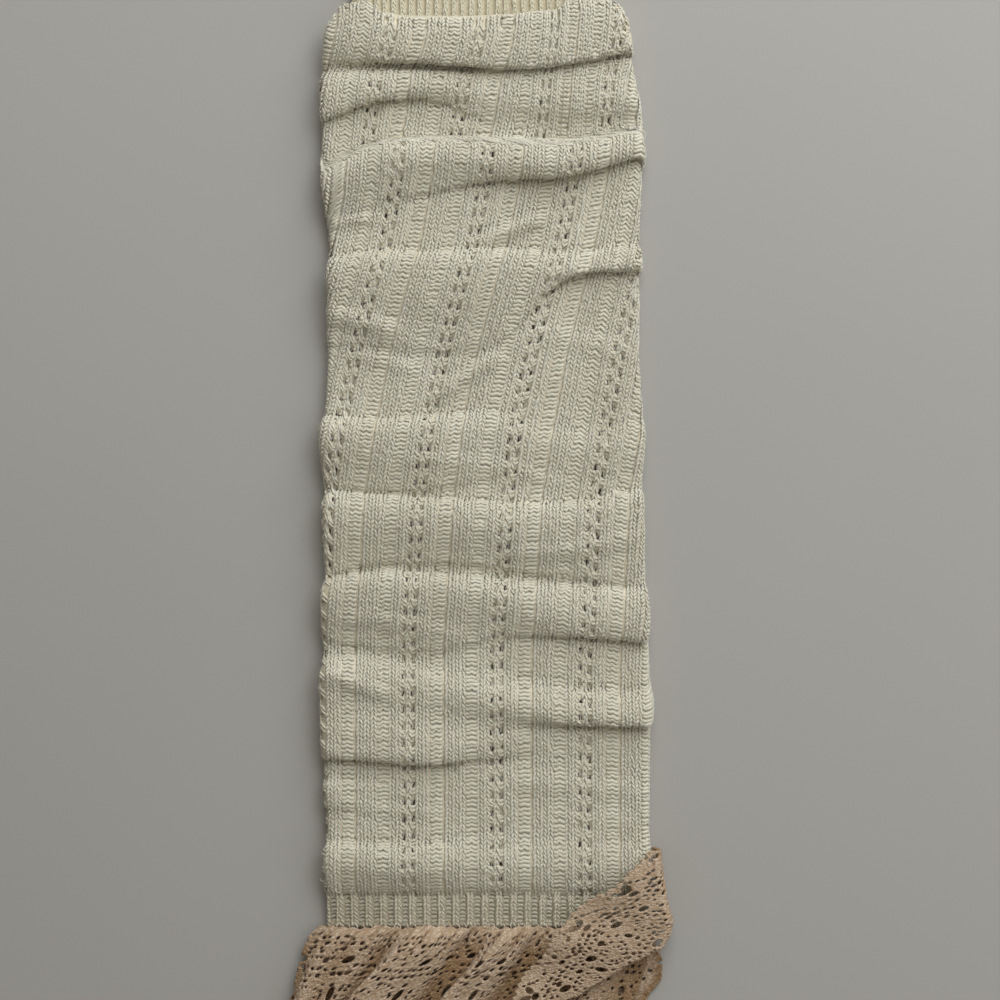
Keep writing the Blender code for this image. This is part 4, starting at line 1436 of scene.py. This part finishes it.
class KNIT_OT_lace(bpy.types.Operator):
    """Makes the gathered lace frill: front, back, the corner turned up at the right and the seam thread"""

    bl_idname = "leg_warmer.lace"
    bl_label = "Gather the lace"

    def execute(self, context):
        cotton = lace_material("cotton_lace", finish_of(context).lace)
        front = lace_piece(
            "lace_frill_front",
            frill_surface(
                FRONT_FRILL_EDGES, FRONT_RUFFLES, FRONT_PLEATS, FRILL_LOW, FRILL_RISE, FRILL_LEAN,
                SEWN_HEIGHT),
            FRONT_LACE * FRONT_GATHER, 0.0, FRILL_DEPTH + 1, cotton, FRONT_CELL, seed=21)
        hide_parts("lace_front")
        back = lace_piece(
            "lace_frill_back",
            frill_surface(BACK_FRILL_EDGES, BACK_RUFFLES, (), BACK_LOW, BACK_RISE, 0.0, BACK_LOW),
            BACK_LACE * BACK_GATHER, 0.0, FRILL_DEPTH + 1, cotton, BACK_CELL, seed=22)
        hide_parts("lace_back")
        turned = lace_piece(
            "lace_corner", turned_surface, TURNED_LACE, TURNED_FROM, FRILL_DEPTH + 1, cotton, TURNED_CELL,
            seed=23, limit=lambda u, depth: bend_run(u, depth)[0])
        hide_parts("lace_turned_corner")
        thread = yarn_material("sewing_thread", shade(finish_of(context).lace, 1.1))
        points, faces = seam_stitches(np.random.default_rng(24))
        make_piece("seam_thread", points, faces, thread)
        return {"FINISHED"}


class KNIT_OT_stage(bpy.types.Operator):
    """Lays the pale table, hangs the soft lights and sets the camera straight above"""

    bl_idname = "leg_warmer.stage"
    bl_label = "Set the stage"

    def execute(self, context):
        scene = context.scene
        made, tree, shader = new_material("table_top")
        coordinates = tree.nodes.new("ShaderNodeTexCoord").outputs["Object"]
        table_colour = finish_of(context).table
        darker, lighter = shade(table_colour, 0.97), shade(table_colour, 1.02)
        tint = mottled(tree, coordinates, 3.0, 0.3, 0.7, darker, lighter)
        tree.links.new(tint, shader.inputs["Base Color"])
        shader.inputs["Roughness"].default_value = 0.7
        bpy.ops.mesh.primitive_plane_add(size=6.0, location=(0, 0, -0.0002))
        table = context.object
        table.name = "table"
        table.data.materials.append(made)
        middle = Vector(((SEAM_X + PHOTO_X) * MM, (SEAM_Y + PHOTO_Y) * MM, 0))
        for name, place, size, power in LAMPS:
            self.lamp(name, middle + Vector(place), middle, size, power)
        world = bpy.data.worlds.new("room_light")
        world.use_nodes = True
        world.node_tree.nodes["Background"].inputs["Color"].default_value = (*ROOM_COLOUR, 1)
        world.node_tree.nodes["Background"].inputs["Strength"].default_value = ROOM_LIGHT
        scene.world = world
        data = bpy.data.cameras.new("camera")
        data.lens = SENSOR * CAMERA_HEIGHT / PHOTO_SIDE
        data.sensor_width = SENSOR
        camera = bpy.data.objects.new("camera", data)
        camera.location = middle + Vector((0, 0, (CAMERA_HEIGHT + LEG_THICKNESS) * MM))
        scene.collection.objects.link(camera)
        scene.camera = camera
        scene.view_settings.view_transform = "Standard"
        return {"FINISHED"}

    @staticmethod
    def lamp(name, place, target, size, power):
        data = bpy.data.lights.new(name, "AREA")
        data.size = size
        data.energy = power
        data.color = LAMP_COLOUR
        made = bpy.data.objects.new(name, data)
        made.location = place
        made.rotation_euler = (target - place).to_track_quat("-Z", "Y").to_euler()
        bpy.context.scene.collection.objects.link(made)


class KNIT_PT_panel(bpy.types.Panel):
    """Shows the leg warmer's colours and sizes and the buttons that make its pieces, in the sidebar"""

    bl_idname = "KNIT_PT_panel"
    bl_label = "Leg warmer"
    bl_space_type = "VIEW_3D"
    bl_region_type = "UI"
    bl_category = "Leg warmer"

    def draw(self, context):
        finish = finish_of(context)
        for key in ("yarn", "cuff", "lace", "table", "yarn_width"):
            self.layout.prop(finish, key)
        for operator in OPERATORS:
            self.layout.operator(operator.bl_idname)


OPERATORS = (KNIT_OT_leg, KNIT_OT_bands, KNIT_OT_lace, KNIT_OT_stage)
CLASSES = (LegWarmerFinish, *OPERATORS, KNIT_PT_panel)


def register():
    for made in CLASSES:
        bpy.utils.register_class(made)
    bpy.types.Scene.leg_warmer_finish = PointerProperty(type=LegWarmerFinish)


def unregister():
    del bpy.types.Scene.leg_warmer_finish
    for made in reversed(CLASSES):
        bpy.utils.unregister_class(made)


def main():
    register()
    bpy.ops.leg_warmer.leg()
    bpy.ops.leg_warmer.bands()
    bpy.ops.leg_warmer.lace()
    bpy.ops.leg_warmer.stage()


if __name__ == "__main__":
    main()
